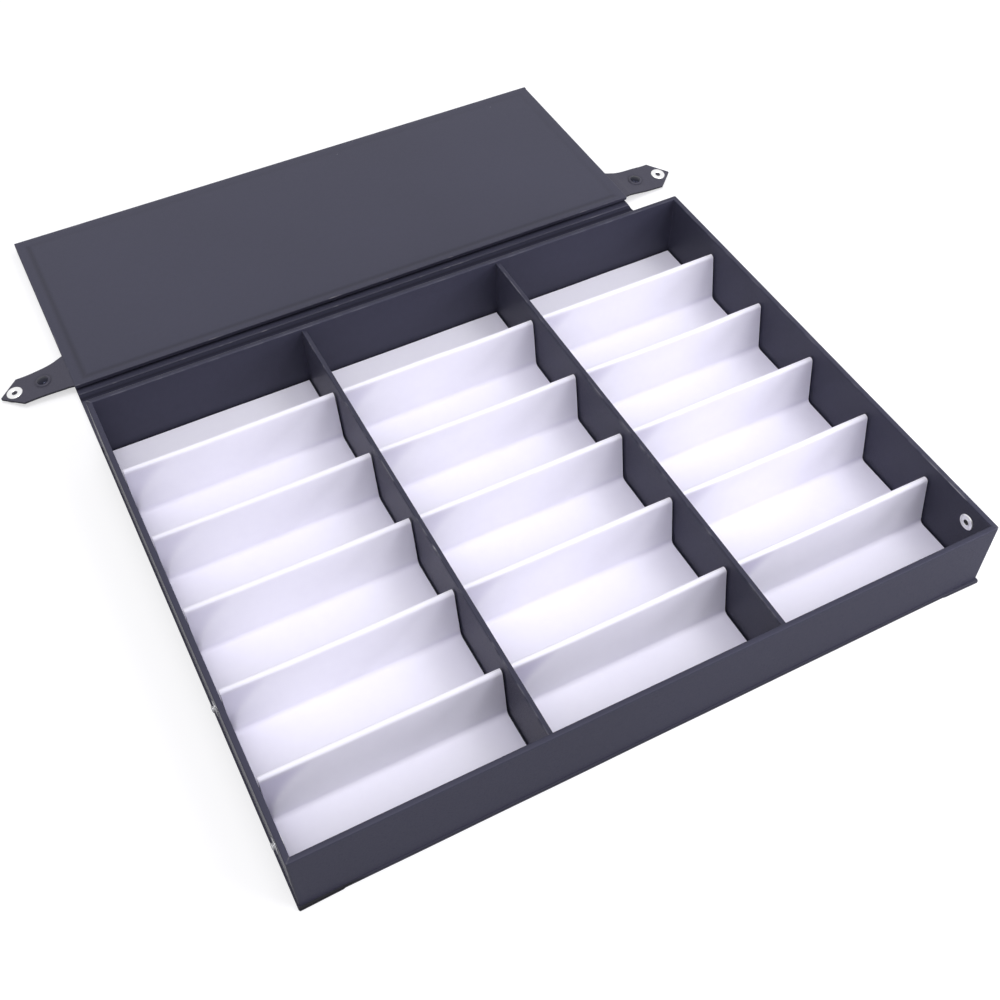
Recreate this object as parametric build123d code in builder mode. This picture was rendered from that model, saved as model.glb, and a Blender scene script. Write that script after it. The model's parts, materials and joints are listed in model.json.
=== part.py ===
from build123d import *
import math
import os

# Organizer box for eyewear: a shallow leatherette tray in three columns, with a folded card
# insert in each, and a cover of three hinged panels that closes over it with two snap straps.
# Millimetres. Origin: centre of the underside of the tray. +X runs along the long side,
# +Y goes back towards the cover, +Z is up. The cover lies open behind the tray, folded once.

# Tray
tray_length = 485.0
tray_depth = 384.0
rim_height = 58.5
wall_board = 3.0
wall_skin = 0.4
floor_board = 3.0
tray_corner = 1.0
rim_round = 0.7

# Base panel under the tray, and how far every cover panel stands out past the tray
base_board_thickness = 2.2
panel_overhang = 1.0

# Dividers
divider_board = 2.6
divider_drop = 2.2
divider_round = 0.6

# Card inserts
insert_card = 1.2
insert_gap = 1.2
ridge_count = 5
ridge_pitch = 64.8
ridge_shift = -1.2
ridge_half_foot = 8.3
ridge_drop = 12.0
ridge_radius = 2.0

# Cover panels: leatherette round a board, with a lining that stands proud inside
cover_skin = 0.5
panel_board = 2.6
edge_round = 0.8
turn_in = 15.0
lining_rise = 1.0
lining_margin = 7.0
spine_lining_rise = 0.4
spine_lining_margin = 3.0
strip_thickness = 0.6

# How the cover hangs and closes
base_to_axis = 2.2
axis_to_board = 3.2
lid_clearance = 0.4
lid_setback = 1.5
lid_rear_inset = 1.3
lid_rear_depth = 190.2
fold_half_gap = 2.5
fold_bulge = 0.6
stack_gap = 0.4

# Snap straps
strap_thickness = 1.6
strap_inset = 19.2
strap_half_root = 17.3
strap_half_waist = 14.0
strap_half_shoulder = 14.8
strap_waist_reach = 24.0
strap_shoulder_reach = 36.8
strap_tip_reach = 51.8
strap_tip_round = 0.8
strap_tuck = 12.0
strap_fold_half = 1.2
strap_droop = 5.9
root_snap_reach = 18.0
tip_snap_reach = 41.0

# Snap hardware
stud_flange = 0.7
stud_flange_radius = 5.2
stud_neck_radius = 1.9
stud_bulb_radius = 2.35
stud_height = 2.4
shank_radius = 1.8
shank_bore = 0.9
shank_clearance = 0.2
ring_thickness = 0.8
ring_radius = 5.9
ring_clearance = 0.1
snap_gap = 0.3
socket_height = 2.3
socket_base = 0.5
socket_radius = 5.8
socket_bore = 2.9
cap_radius = 6.4
cap_height = 2.0
cap_edge = 0.3
pin_radius = 1.5
pin_clearance = 0.1
tip_ring_radius = 6.2
tip_ring_height = 0.8
tip_ring_hole = 1.0
small_bevel = 0.4

# The second stud on each side stands lower and further back than the one by the front corner.
rear_stud_y = -66.0
rear_stud_z = 30.0

# Heights and planes that follow from the sizes above
half_length = tray_length / 2
half_depth = tray_depth / 2
panel_half = half_length + panel_overhang
base_top = base_board_thickness + 2 * cover_skin
floor_top = base_top + floor_board
board_half_length = half_length - wall_skin
board_half_depth = half_depth - wall_skin
well_half_length = board_half_length - wall_board
well_half_depth = board_half_depth - wall_board
inner_half_length = well_half_length - wall_skin
inner_half_depth = well_half_depth - wall_skin
wall_thickness = wall_board + 2 * wall_skin

divider_thickness = divider_board + 2 * wall_skin
divider_top = rim_height - divider_drop
column_width = (2 * inner_half_length - 2 * divider_thickness) / 3
column_pitch = column_width + divider_thickness
divider_x = column_pitch / 2
insert_top = floor_top + insert_card
ridge_top = rim_height - ridge_drop
ridge_places = [ridge_shift + ridge_pitch * (i - (ridge_count - 1) / 2) for i in range(ridge_count)]

panel_thickness = panel_board + 2 * cover_skin
hinge_z = panel_thickness / 2
base_rear = half_depth + panel_overhang
spine_axis_y = base_rear + base_to_axis
lid_axis_y = spine_axis_y + rim_height + lid_clearance
spine_near = spine_axis_y + axis_to_board
spine_far = lid_axis_y - axis_to_board
lid_rear_edge = half_depth - lid_rear_inset
lid_rear_near = lid_axis_y + spine_axis_y - lid_rear_edge
lid_rear_far = lid_rear_near + lid_rear_depth
fold_axis_y = lid_rear_far + fold_half_gap
fold_axis_z = panel_thickness + lining_rise + stack_gap / 2
lid_front_edge = -(half_depth - lid_setback)
lid_front_depth = lid_rear_edge - lid_front_edge - lid_rear_depth - 2 * fold_half_gap
lid_front_near = lid_rear_far - lid_front_depth
stack_top = 2 * fold_axis_z
closed_top = rim_height + lid_clearance + panel_thickness

strap_z = stack_top - cover_skin - strap_thickness / 2
strap_y = lid_front_near + strap_inset
strap_axis_x = half_length + stud_flange + snap_gap + socket_height + strap_thickness / 2
closed_strap_z = closed_top - (stack_top - strap_z)
front_stud_y = lid_front_edge + strap_inset
front_stud_z = closed_strap_z - root_snap_reach

os.makedirs("parts", exist_ok=True)


def block(x, y, z, mode=Mode.ADD):
    """Add or cut a block that spans three pairs of limits."""
    middle = [(low + high) / 2 for low, high in (x, y, z)]
    with Locations(tuple(middle)):
        Box(x[1] - x[0], y[1] - y[0], z[1] - z[0], mode=mode)


def frame_block(outer, inner, z, mode=Mode.ADD):
    """Add or cut an upright rectangular frame between two half sizes."""
    with BuildSketch(Plane.XY.offset(z[0])) as section:
        Rectangle(2 * outer[0], 2 * outer[1])
        Rectangle(2 * inner[0], 2 * inner[1], mode=Mode.SUBTRACT)
    extrude(section.sketch, amount=z[1] - z[0], mode=mode)


def bore_along_x(x, y, z, radius):
    """Cut a round hole along X between two limits."""
    with BuildSketch(Plane.YZ.offset(x[0])) as section:
        with Locations((y, z)):
            Circle(radius)
    extrude(section.sketch, amount=x[1] - x[0], mode=Mode.SUBTRACT)


def turn(seat, outline):
    """Turn an outline of (radius, height) points about the normal of a seat plane."""
    with BuildSketch(Plane(origin=seat.origin, x_dir=seat.x_dir, z_dir=-seat.y_dir)) as section:
        with BuildLine():
            Polyline(*outline, close=True)
        make_face()
    revolve(section.sketch, axis=Axis(seat.origin, seat.z_dir))


def dome_point(rim, crown):
    """The middle of the arc of a shallow dome whose centre lies on the axis below its crown."""
    sag = crown[1] - rim[1]
    radius = (rim[0] ** 2 + sag**2) / (2 * sag)
    half_angle = math.asin(rim[0] / radius) / 2
    return radius * math.sin(half_angle), crown[1] - radius * (1 - math.cos(half_angle))


def finish(piece, name):
    """Label a finished piece and write it as its own file."""
    piece.part.label = name
    export_step(piece.part, f"parts/{name}.step")


# Panels of leatherette, board and lining
def panel_levels(outer_z, side, board):
    """Heights of the outer face, board and inner face of a panel whose inside faces `side`."""
    board_low = outer_z + side * cover_skin
    board_high = board_low + side * board
    return board_low, board_high, board_high + side * cover_skin


def panel_cover(y, outer_z, side, board, half, hinged):
    """Leatherette round a board: outer face, edges and a turned-in margin inside."""
    board_low, board_high, inner_z = panel_levels(outer_z, side, board)
    with BuildPart() as cover:
        block((-half, half), y, sorted((outer_z, inner_z)))
        sharp = ShapeList(
            edge
            for edge in cover.edges().filter_by(Axis.X)
            if abs(edge.center().Z - outer_z) < cover_skin
            and any(abs(edge.center().Y - place) < cover_skin for place in hinged)
        )
        fillet(cover.edges() - sharp, edge_round)
        inner_y = (y[0] + cover_skin, y[1] - cover_skin)
        block((-half + cover_skin, half - cover_skin), inner_y, sorted((board_low, board_high)), Mode.SUBTRACT)
        window = (-half + turn_in, half - turn_in)
        block(window, (y[0] + turn_in, y[1] - turn_in), sorted((board_high, inner_z)), Mode.SUBTRACT)
    return cover


def panel_core(y, outer_z, side, board, half):
    """The board inside a panel."""
    board_low, board_high, _ = panel_levels(outer_z, side, board)
    with BuildPart() as core:
        inner_y = (y[0] + cover_skin, y[1] - cover_skin)
        block((-half + cover_skin, half - cover_skin), inner_y, sorted((board_low, board_high)))
    return core


def panel_lining(y, outer_z, side, board, rise, margin):
    """The lining glued inside a panel: it fills the window and stands proud of the margin."""
    _, board_high, inner_z = panel_levels(outer_z, side, board)
    face_z = inner_z + side * rise
    with BuildPart() as lining:
        pad_half = half_length - margin
        block((-pad_half, pad_half), (y[0] + margin, y[1] - margin), sorted((inner_z, face_z)))
        fillet(lining.edges().filter_by(lambda edge: abs(edge.center().Z - face_z) < rise / 4), rise / 2)
        fill_half = panel_half - turn_in
        block((-fill_half, fill_half), (y[0] + turn_in, y[1] - turn_in), sorted((board_high, inner_z)))
    return lining


# Base panel
base_y = (-base_rear, base_rear)
base_cover = panel_cover(base_y, 0, 1, base_board_thickness, panel_half, [base_rear])
finish(base_cover, "base_cover")

with BuildPart() as base_board:
    board_y = (base_y[0] + cover_skin, base_y[1] - cover_skin)
    board_x = (-panel_half + cover_skin, panel_half - cover_skin)
    block(board_x, board_y, (cover_skin, base_top - cover_skin))
    fill_x = (-panel_half + turn_in, panel_half - turn_in)
    block(fill_x, (base_y[0] + turn_in, base_y[1] - turn_in), (base_top - cover_skin, base_top))
finish(base_board, "base_board")

# Tray shell
board_top = rim_height - wall_skin
wall_z = (base_top, board_top)

with BuildPart() as tray_floor:
    block((-well_half_length, well_half_length), (-well_half_depth, well_half_depth), (base_top, floor_top))
finish(tray_floor, "tray_floor")

for name, side in (("front_wall", -1), ("rear_wall", 1)):
    with BuildPart() as long_wall:
        reach = sorted((side * well_half_depth, side * board_half_depth))
        block((-board_half_length, board_half_length), reach, wall_z)
    finish(long_wall, name)

studs = (("front", front_stud_y, front_stud_z), ("rear", rear_stud_y, rear_stud_z))
hole_radius = shank_radius + shank_clearance

for name, side in (("left_wall", -1), ("right_wall", 1)):
    with BuildPart() as short_wall:
        reach = sorted((side * well_half_length, side * board_half_length))
        block(reach, (-well_half_depth, well_half_depth), wall_z)
        for place, y, z in studs:
            bore_along_x(reach, y, z, hole_radius)
            if place == "rear":
                recess = sorted((side * well_half_length, side * (well_half_length + ring_thickness)))
                bore_along_x(recess, y, z, ring_radius + ring_clearance)
    finish(short_wall, name)

with BuildPart() as tray_wrap:
    frame_block((half_length, half_depth), (inner_half_length, inner_half_depth), (base_top, rim_height))
    corners = tray_wrap.edges().filter_by(Axis.Z)
    fillet(corners.filter_by(lambda edge: abs(edge.center().X) > well_half_length), tray_corner)
    fillet(tray_wrap.faces().sort_by(Axis.Z)[-1].edges(), rim_round)
    frame_block((board_half_length, board_half_depth), (well_half_length, well_half_depth), wall_z, Mode.SUBTRACT)
    well = ((-well_half_length, well_half_length), (-well_half_depth, well_half_depth))
    block(*well, (base_top, floor_top), Mode.SUBTRACT)
    for side in (-1, 1):
        for place, y, z in studs:
            inner_end = well_half_length if place == "rear" else inner_half_length
            bore_along_x(sorted((side * inner_end, side * half_length)), y, z, hole_radius)
finish(tray_wrap, "tray_wrap")

# Dividers
for name, side in (("left_divider", -1), ("right_divider", 1)):
    middle = side * divider_x
    core_x = (middle - divider_board / 2, middle + divider_board / 2)
    skin_x = (middle - divider_thickness / 2, middle + divider_thickness / 2)
    run = (-inner_half_depth, inner_half_depth)
    with BuildPart() as divider_core:
        block(core_x, run, (floor_top, divider_top - wall_skin))
    finish(divider_core, f"{name}_board")

    with BuildPart() as divider_skin:
        block(skin_x, run, (floor_top, divider_top))
        fillet(divider_skin.faces().sort_by(Axis.Z)[-1].edges().filter_by(Axis.Y), divider_round)
        block(core_x, run, (floor_top, divider_top - wall_skin), Mode.SUBTRACT)
    finish(divider_skin, f"{name}_cover")


# Card inserts
ridge_centre_z = ridge_top - ridge_radius
ridge_rise = ridge_centre_z - insert_top
ridge_lean = math.atan2(ridge_half_foot, ridge_rise) - math.asin(
    ridge_radius / math.hypot(ridge_half_foot, ridge_rise)
)


def ridge_outline(y, radius, foot_z):
    """Closed outline of a ridge: two leaning faces and a rounded top, down to foot_z."""
    shoulder = (radius * math.cos(ridge_lean), ridge_centre_z + radius * math.sin(ridge_lean))
    foot = shoulder[0] + (shoulder[1] - foot_z) * math.tan(ridge_lean)
    Line((y - foot, foot_z), (y - shoulder[0], shoulder[1]))
    ThreePointArc((y - shoulder[0], shoulder[1]), (y, ridge_centre_z + radius), (y + shoulder[0], shoulder[1]))
    Line((y + shoulder[0], shoulder[1]), (y + foot, foot_z))
    Line((y + foot, foot_z), (y - foot, foot_z))


insert_width = column_width - 2 * insert_gap
insert_depth = 2 * (inner_half_depth - insert_gap)
for column, name in enumerate(("left_insert", "middle_insert", "right_insert")):
    with BuildPart() as insert:
        with BuildSketch(Plane.YZ.offset((column - 1) * column_pitch - insert_width / 2)):
            with Locations((0, floor_top + insert_card / 2)):
                Rectangle(insert_depth, insert_card)
            for y in ridge_places:
                with BuildLine():
                    ridge_outline(y, ridge_radius, insert_top - insert_card / 2)
                make_face()
            for y in ridge_places:
                with BuildLine():
                    ridge_outline(y, ridge_radius - insert_card, floor_top)
                make_face(mode=Mode.SUBTRACT)
        extrude(amount=insert_width)
    finish(insert, name)

# Studs on the tray's ends, and the rivet rings that hold them from inside
for place, y, z in studs:
    buried = place == "rear"
    shank_end = wall_skin + wall_board if buried else wall_thickness + ring_thickness
    ring_face = well_half_length if buried else inner_half_length - ring_thickness
    for name, side in (("left", -1), ("right", 1)):
        with BuildPart() as stud:
            seat = Plane(origin=(side * half_length, y, z), x_dir=(0, 1, 0), z_dir=(side, 0, 0))
            bulb_low = stud_height - 2.5 * small_bevel
            outline = [
                (shank_bore, -shank_end),
                (shank_radius, -shank_end),
                (shank_radius, 0),
                (stud_flange_radius, 0),
                (stud_flange_radius, stud_flange - small_bevel),
                (stud_flange_radius - small_bevel, stud_flange),
                (stud_neck_radius, stud_flange),
                (stud_neck_radius, bulb_low - small_bevel / 2),
                (stud_bulb_radius, bulb_low + small_bevel / 2),
                (stud_bulb_radius, stud_height - small_bevel),
                (stud_neck_radius, stud_height),
                (0, stud_height),
                (0, -wall_skin),
                (shank_bore, -wall_skin),
            ]
            turn(seat, outline)
        finish(stud, f"{place}_{name}_stud")

        with BuildPart() as rivet_ring:
            seat = Plane(origin=(side * ring_face, y, z), x_dir=(0, 1, 0), z_dir=(-side, 0, 0))
            outline = [
                (shank_radius + ring_clearance, 0),
                (ring_radius - small_bevel, 0),
                (ring_radius, -small_bevel),
                (ring_radius, -ring_thickness),
                (shank_radius + ring_clearance, -ring_thickness),
            ]
            turn(seat, outline)
        finish(rivet_ring, f"{place}_{name}_rivet_ring")

# Spine and the two lid panels
spine_y = (spine_near, spine_far)
spine_cover = panel_cover(spine_y, 0, 1, panel_board, panel_half, spine_y)
finish(spine_cover, "spine_cover")
spine_board = panel_core(spine_y, 0, 1, panel_board, panel_half)
finish(spine_board, "spine_board")
spine_lining = panel_lining(spine_y, 0, 1, panel_board, spine_lining_rise, spine_lining_margin)
finish(spine_lining, "spine_lining")

lid_rear_y = (lid_rear_near, lid_rear_far)
lid_rear_cover = panel_cover(lid_rear_y, 0, 1, panel_board, panel_half, lid_rear_y)
finish(lid_rear_cover, "lid_rear_cover")
lid_rear_board = panel_core(lid_rear_y, 0, 1, panel_board, panel_half)
finish(lid_rear_board, "lid_rear_board")
lid_rear_lining = panel_lining(lid_rear_y, 0, 1, panel_board, lining_rise, lining_margin)
finish(lid_rear_lining, "lid_rear_lining")

lid_front_y = (lid_front_near, lid_rear_far)
tuck_x = panel_half - strap_tuck
root_end = strap_axis_x - strap_fold_half
strap_y_span = (strap_y - strap_half_root, strap_y + strap_half_root)
strap_z_span = (strap_z - strap_thickness / 2, strap_z + strap_thickness / 2)

lid_front_cover = panel_cover(lid_front_y, stack_top, -1, panel_board, panel_half, [lid_rear_far])
with lid_front_cover:
    for side in (-1, 1):
        slot_x = sorted((side * tuck_x, side * (panel_half + edge_round)))
        block(slot_x, strap_y_span, strap_z_span, Mode.SUBTRACT)
finish(lid_front_cover, "lid_front_cover")

lid_front_board = panel_core(lid_front_y, stack_top, -1, panel_board, panel_half)
with lid_front_board:
    for side in (-1, 1):
        block(sorted((side * tuck_x, side * panel_half)), strap_y_span, strap_z_span, Mode.SUBTRACT)
finish(lid_front_board, "lid_front_board")

lid_front_lining = panel_lining(lid_front_y, stack_top, -1, panel_board, lining_rise, lining_margin)
finish(lid_front_lining, "lid_front_lining")

# Leatherette strips that join the panels
for name, y in (
    ("tray_hinge_strip", (base_rear, spine_near)),
    ("spine_hinge_strip", (spine_far, lid_rear_near)),
):
    with BuildPart() as hinge_strip:
        block((-panel_half, panel_half), y, (0, strip_thickness))
    finish(hinge_strip, name)

with BuildPart() as lid_fold_strip:
    bulge = fold_axis_y + fold_bulge
    block((-panel_half, panel_half), (lid_rear_far, bulge), (0, stack_top))
    outer_edges = lid_fold_strip.edges().filter_by(Axis.X).group_by(Axis.Y)[-1]
    fillet(outer_edges, edge_round)
    cavity_z = (strip_thickness, stack_top - strip_thickness)
    block((-panel_half, panel_half), (lid_rear_far, bulge - strip_thickness), cavity_z, Mode.SUBTRACT)
finish(lid_fold_strip, "lid_fold_strip")

# Snap straps
droop = math.radians(strap_droop)
for name, side in (("left", -1), ("right", 1)):
    strap_plane = Plane(
        origin=(side * strap_axis_x, strap_y, strap_z),
        x_dir=(side * math.cos(droop), 0, -math.sin(droop)),
        z_dir=(side * math.sin(droop), 0, math.cos(droop)),
    )
    half = strap_thickness / 2

    with BuildPart() as strap_root:
        block(sorted((side * tuck_x, side * root_end)), strap_y_span, strap_z_span)
    finish(strap_root, f"{name}_strap_root")

    with BuildPart() as strap_fold:
        start = (strap_fold_half * math.cos(droop), -strap_fold_half * math.sin(droop))
        rise = (half * math.sin(droop), half * math.cos(droop))
        section = [
            (side * root_end, strap_z - half),
            (side * root_end, strap_z + half),
            (side * (strap_axis_x + start[0] + rise[0]), strap_z + start[1] + rise[1]),
            (side * (strap_axis_x + start[0] - rise[0]), strap_z + start[1] - rise[1]),
        ]
        with BuildSketch(Plane.XZ.offset(-strap_y)):
            with BuildLine():
                Polyline(*section, close=True)
            make_face()
        extrude(amount=strap_half_root, both=True)
    finish(strap_fold, f"{name}_strap_fold")

    with BuildPart() as strap:
        with BuildSketch(strap_plane.offset(-half)):
            with BuildLine():
                root_point = (strap_fold_half, strap_half_root)
                waist_point = (strap_waist_reach, strap_half_waist)
                shoulder_point = (strap_shoulder_reach, strap_half_shoulder)
                tip_point = (strap_tip_reach, 0)
                Spline(root_point, waist_point, shoulder_point, tangents=[(1, -0.42), (1, 0.12)])
                Line(shoulder_point, tip_point)
                Line(tip_point, (shoulder_point[0], -shoulder_point[1]))
                Spline(
                    (shoulder_point[0], -shoulder_point[1]),
                    (waist_point[0], -waist_point[1]),
                    (root_point[0], -root_point[1]),
                    tangents=[(-1, 0.12), (-1, -0.42)],
                )
                Line((root_point[0], -root_point[1]), root_point)
            make_face()
            with Locations((root_snap_reach, 0), (tip_snap_reach, 0)):
                Circle(pin_radius + pin_clearance, mode=Mode.SUBTRACT)
        extrude(amount=strap_thickness)
        tip_edge = strap.edges().filter_by(lambda edge: abs(edge.length - strap_thickness) < 0.01)
        far_from_hinge = tip_edge.sort_by(lambda edge: side * edge.center().X)[-1]
        fillet(far_from_hinge, strap_tip_round)
    finish(strap, f"{name}_strap")

    root_seat = Plane(
        origin=strap_plane.from_local_coords((root_snap_reach, 0, 0)),
        x_dir=strap_plane.x_dir,
        z_dir=strap_plane.z_dir,
    )
    tip_seat = Plane(
        origin=strap_plane.from_local_coords((tip_snap_reach, 0, 0)),
        x_dir=strap_plane.x_dir,
        z_dir=strap_plane.z_dir,
    )
    pin_end = -half - socket_base

    with BuildPart() as root_cap:
        with BuildSketch(Plane(origin=root_seat.origin, x_dir=root_seat.x_dir, z_dir=-root_seat.y_dir)):
            with BuildLine():
                crown = (0, half + cap_height)
                rim = (cap_radius, half + cap_edge)
                Polyline(crown, (0, pin_end), (pin_radius, pin_end), (pin_radius, half), (cap_radius, half), rim)
                ThreePointArc(rim, dome_point(rim, crown), crown)
            make_face()
        revolve(axis=Axis(root_seat.origin, root_seat.z_dir))
    finish(root_cap, f"{name}_root_cap")

    for place, seat in (("root", root_seat), ("tip", tip_seat)):
        with BuildPart() as socket:
            low = -half - socket_height
            outline = [
                (pin_radius + pin_clearance, -half),
                (socket_radius, -half),
                (socket_radius, low + small_bevel),
                (socket_radius - small_bevel, low),
                (socket_bore, low),
                (socket_bore, pin_end),
                (pin_radius + pin_clearance, pin_end),
            ]
            turn(seat, outline)
        finish(socket, f"{name}_{place}_socket")

    with BuildPart() as tip_ring:
        ring_top = half + tip_ring_height
        outline = [
            (tip_ring_hole, pin_end),
            (pin_radius, pin_end),
            (pin_radius, half),
            (tip_ring_radius, half),
            (tip_ring_radius, ring_top - small_bevel),
            (tip_ring_radius - small_bevel, ring_top),
            (tip_ring_hole + 3 * small_bevel, ring_top),
            (tip_ring_hole, ring_top - small_bevel),
        ]
        turn(tip_seat, outline)
    finish(tip_ring, f"{name}_tip_ring")
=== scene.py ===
"""Looks for a leatherette organizer box: a tray in three columns, its folding lid and snap straps.

Sizes are in metres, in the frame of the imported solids: +X along the tray, +Y towards the open lid,
+Z up. Each class below builds one sub-assembly around those solids and dresses it.
"""

import itertools
import json
import logging
import math
from dataclasses import dataclass, field
from enum import Enum
from typing import Callable, Sequence

import bpy
import numpy as np
from mathutils import Matrix, Vector


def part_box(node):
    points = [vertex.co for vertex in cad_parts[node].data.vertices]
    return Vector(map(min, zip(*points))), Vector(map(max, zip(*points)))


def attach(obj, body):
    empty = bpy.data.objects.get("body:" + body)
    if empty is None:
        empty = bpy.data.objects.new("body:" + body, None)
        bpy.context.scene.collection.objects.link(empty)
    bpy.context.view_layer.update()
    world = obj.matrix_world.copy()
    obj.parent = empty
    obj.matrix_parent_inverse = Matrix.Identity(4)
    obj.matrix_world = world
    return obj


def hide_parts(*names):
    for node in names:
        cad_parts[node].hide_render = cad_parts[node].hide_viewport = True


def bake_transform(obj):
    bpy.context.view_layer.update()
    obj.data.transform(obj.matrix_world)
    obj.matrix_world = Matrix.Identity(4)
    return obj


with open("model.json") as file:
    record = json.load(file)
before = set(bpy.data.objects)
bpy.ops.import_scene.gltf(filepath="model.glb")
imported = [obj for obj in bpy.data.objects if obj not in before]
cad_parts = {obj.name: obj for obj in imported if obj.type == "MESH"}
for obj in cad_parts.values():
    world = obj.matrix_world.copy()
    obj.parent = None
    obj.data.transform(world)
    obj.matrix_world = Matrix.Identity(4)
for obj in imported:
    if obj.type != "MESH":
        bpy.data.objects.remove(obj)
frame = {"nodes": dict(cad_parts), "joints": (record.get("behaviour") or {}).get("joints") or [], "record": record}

MM = 0.001
TINY = 1e-9
CRISP_ANGLE = math.radians(38)
EDGE_ANGLES = (45, 33, 21, 10, 0)
LATHE_TURNS = 56
MIX_INPUTS = (0, 6, 7)
MIX_OUTPUT = 2
WHITE = (1.0, 1.0, 1.0)
log = logging.getLogger("organizer_box")

Colour = tuple[float, float, float]
Place = tuple[float, float, float]
Profile = Sequence[tuple[float, float]]
Sockets = bpy.types.bpy_prop_collection


class Side(Enum):
    """The two mirrored ends of the box."""

    LEFT = -1
    RIGHT = 1

    @property
    def word(self) -> str:
        """The side's name as the nodes spell it."""
        return self.name.lower()


class Mask(Enum):
    """Per-point masks that the finishes read."""

    EDGE = "edge"
    # Painted shade: where a finish darkens for the shade in folds, grooves, hollows and at feet and lips.
    CREASE = "crease"


def srgb(red: int, green: int, blue: int) -> Colour:
    """Turn display values into the linear colour that a shader takes.

    Args:
        red: red, 0 to 255.
        green: green, 0 to 255.
        blue: blue, 0 to 255.

    Returns:
        The colour in linear light.
    """
    shares = (red / 255, green / 255, blue / 255)
    return tuple(s / 12.92 if s <= 0.04045 else ((s + 0.055) / 1.055) ** 2.4 for s in shares)


def toned(colour: Colour, share: float) -> Colour:
    """A lighter or darker colour of the same hue."""
    return tuple(min(1.0, c * share) for c in colour)


def add_object(name: str, data: bpy.types.ID) -> bpy.types.Object:
    """A new object around this data, linked to the scene."""
    made = bpy.data.objects.new(name, data)
    bpy.context.scene.collection.objects.link(made)
    return made


# Mesh building


@dataclass
class Shell:
    """Points and faces of one closed surface, with masks for the finish."""

    points: np.ndarray
    faces: list[tuple[int, ...]]
    masks: dict[Mask, np.ndarray] = field(default_factory=dict)
    face_slots: list[int] = field(default_factory=list)

    def volume(self) -> float:
        """Work out the signed volume.

        Returns:
            The volume, positive when the faces look outwards.
        """
        total = 0.0
        for face in self.faces:
            anchor = self.points[face[0]]
            for second, third in zip(face[1:-1], face[2:]):
                total += float(np.dot(anchor, np.cross(self.points[second], self.points[third])))
        return total / 6

    def facing_out(self) -> "Shell":
        """The same shell with its faces turned outwards."""
        return self if self.volume() >= 0 else self.flipped()

    def flipped(self) -> "Shell":
        """The same shell with its faces turned round."""
        faces = [face[::-1] for face in self.faces]
        return Shell(self.points, faces, self.masks, self.face_slots)

    def with_cavity(self, cavity: "Shell") -> "Shell":
        """Join this shell to the closed hollow inside it.

        Args:
            cavity: the surface of the hollow.

        Returns:
            One shell of both surfaces.
        """
        inner = cavity.facing_out().flipped()
        start = len(self.points)
        faces = self.faces + [tuple(i + start for i in face) for face in inner.faces]
        unmasked = np.zeros(len(inner.points))
        masks = {key: np.concatenate([mask, unmasked]) for key, mask in self.masks.items()}
        return Shell(np.vstack([self.points, inner.points]), faces, masks)

    def build(self, name: str) -> bpy.types.Object:
        """Make the Blender object.

        Args:
            name: the piece's name.

        Returns:
            The new object, linked to the scene.
        """
        mesh = bpy.data.meshes.new(name)
        mesh.from_pydata([tuple(p) for p in self.points], [], self.faces)
        for key, mask in self.masks.items():
            attribute = mesh.attributes.new(key.value, "FLOAT", "POINT")
            attribute.data.foreach_set("value", np.asarray(mask, np.float32))
        mesh.update()
        mesh.shade_smooth()
        mesh.set_sharp_from_angle(angle=CRISP_ANGLE)
        if self.face_slots:
            mesh.polygons.foreach_set("material_index", self.face_slots)
        return add_object(name, mesh)


def grid_faces(rows: int, columns: int, wrap_rows: bool, wrap_columns: bool) -> list[tuple[int, ...]]:
    """Quads over points laid out row by row.

    Args:
        rows: number of rows.
        columns: number of points in a row.
        wrap_rows: whether the last row joins the first.
        wrap_columns: whether the last column joins the first.

    Returns:
        The faces as point indices.
    """
    faces = []
    for row in range(rows if wrap_rows else rows - 1):
        for column in range(columns if wrap_columns else columns - 1):
            next_row, next_column = (row + 1) % rows, (column + 1) % columns
            corners = ((row, column), (next_row, column), (next_row, next_column), (row, next_column))
            faces.append(tuple(r * columns + c for r, c in corners))
    return faces


def ripple(u: np.ndarray, v: np.ndarray, wave: float, size: float, seed: int) -> np.ndarray:
    """Slow unevenness made of a few crossing waves.

    Args:
        u: first coordinate of each point.
        v: second coordinate of each point.
        wave: typical length of a wave.
        size: largest rise.
        seed: picks the pattern.

    Returns:
        The rise at each point.
    """
    picks = np.random.default_rng(seed)
    count = 5
    total = np.zeros_like(u, dtype=float)
    for _ in range(count):
        heading, phase = picks.uniform(0, 2 * math.pi, 2)
        length = wave * picks.uniform(0.6, 1.7)
        total += np.sin((u * math.cos(heading) + v * math.sin(heading)) * 2 * math.pi / length + phase)
    return size * total / count


def bump(distance: np.ndarray, reach: float) -> np.ndarray:
    """A smooth bump, 1 at no distance and 0 from reach on."""
    return np.where(np.abs(distance) < reach, 0.5 + 0.5 * np.cos(math.pi * distance / reach), 0.0)


def smooth_step(value: np.ndarray) -> np.ndarray:
    """An eased ramp from 0 to 1 over the same range of value."""
    share = np.clip(value, 0, 1)
    return share * share * (3 - 2 * share)


def lines_between(low: float, high: float, edge: float, step: float, extra: Sequence[float]) -> np.ndarray:
    """Grid lines over a length: fine ones round both edges, coarse ones between.

    Args:
        low: where the length starts.
        high: where it ends.
        edge: radius of the rounded edge at each end.
        step: spacing of the coarse lines.
        extra: lines that are wanted as well.

    Returns:
        The sorted positions.
    """
    arc = [edge * (1 - math.tan(math.radians(angle))) for angle in EDGE_ANGLES]
    inner = np.linspace(low + edge, high - edge, max(2, round((high - low) / step)))
    spots = [low + a for a in arc] + [high - a for a in arc] + list(inner) + list(extra)
    spots = np.unique(np.round(spots, 7))
    least_gap = edge / 50
    return spots[np.concatenate([[True], np.diff(spots) > least_gap])]


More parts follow.
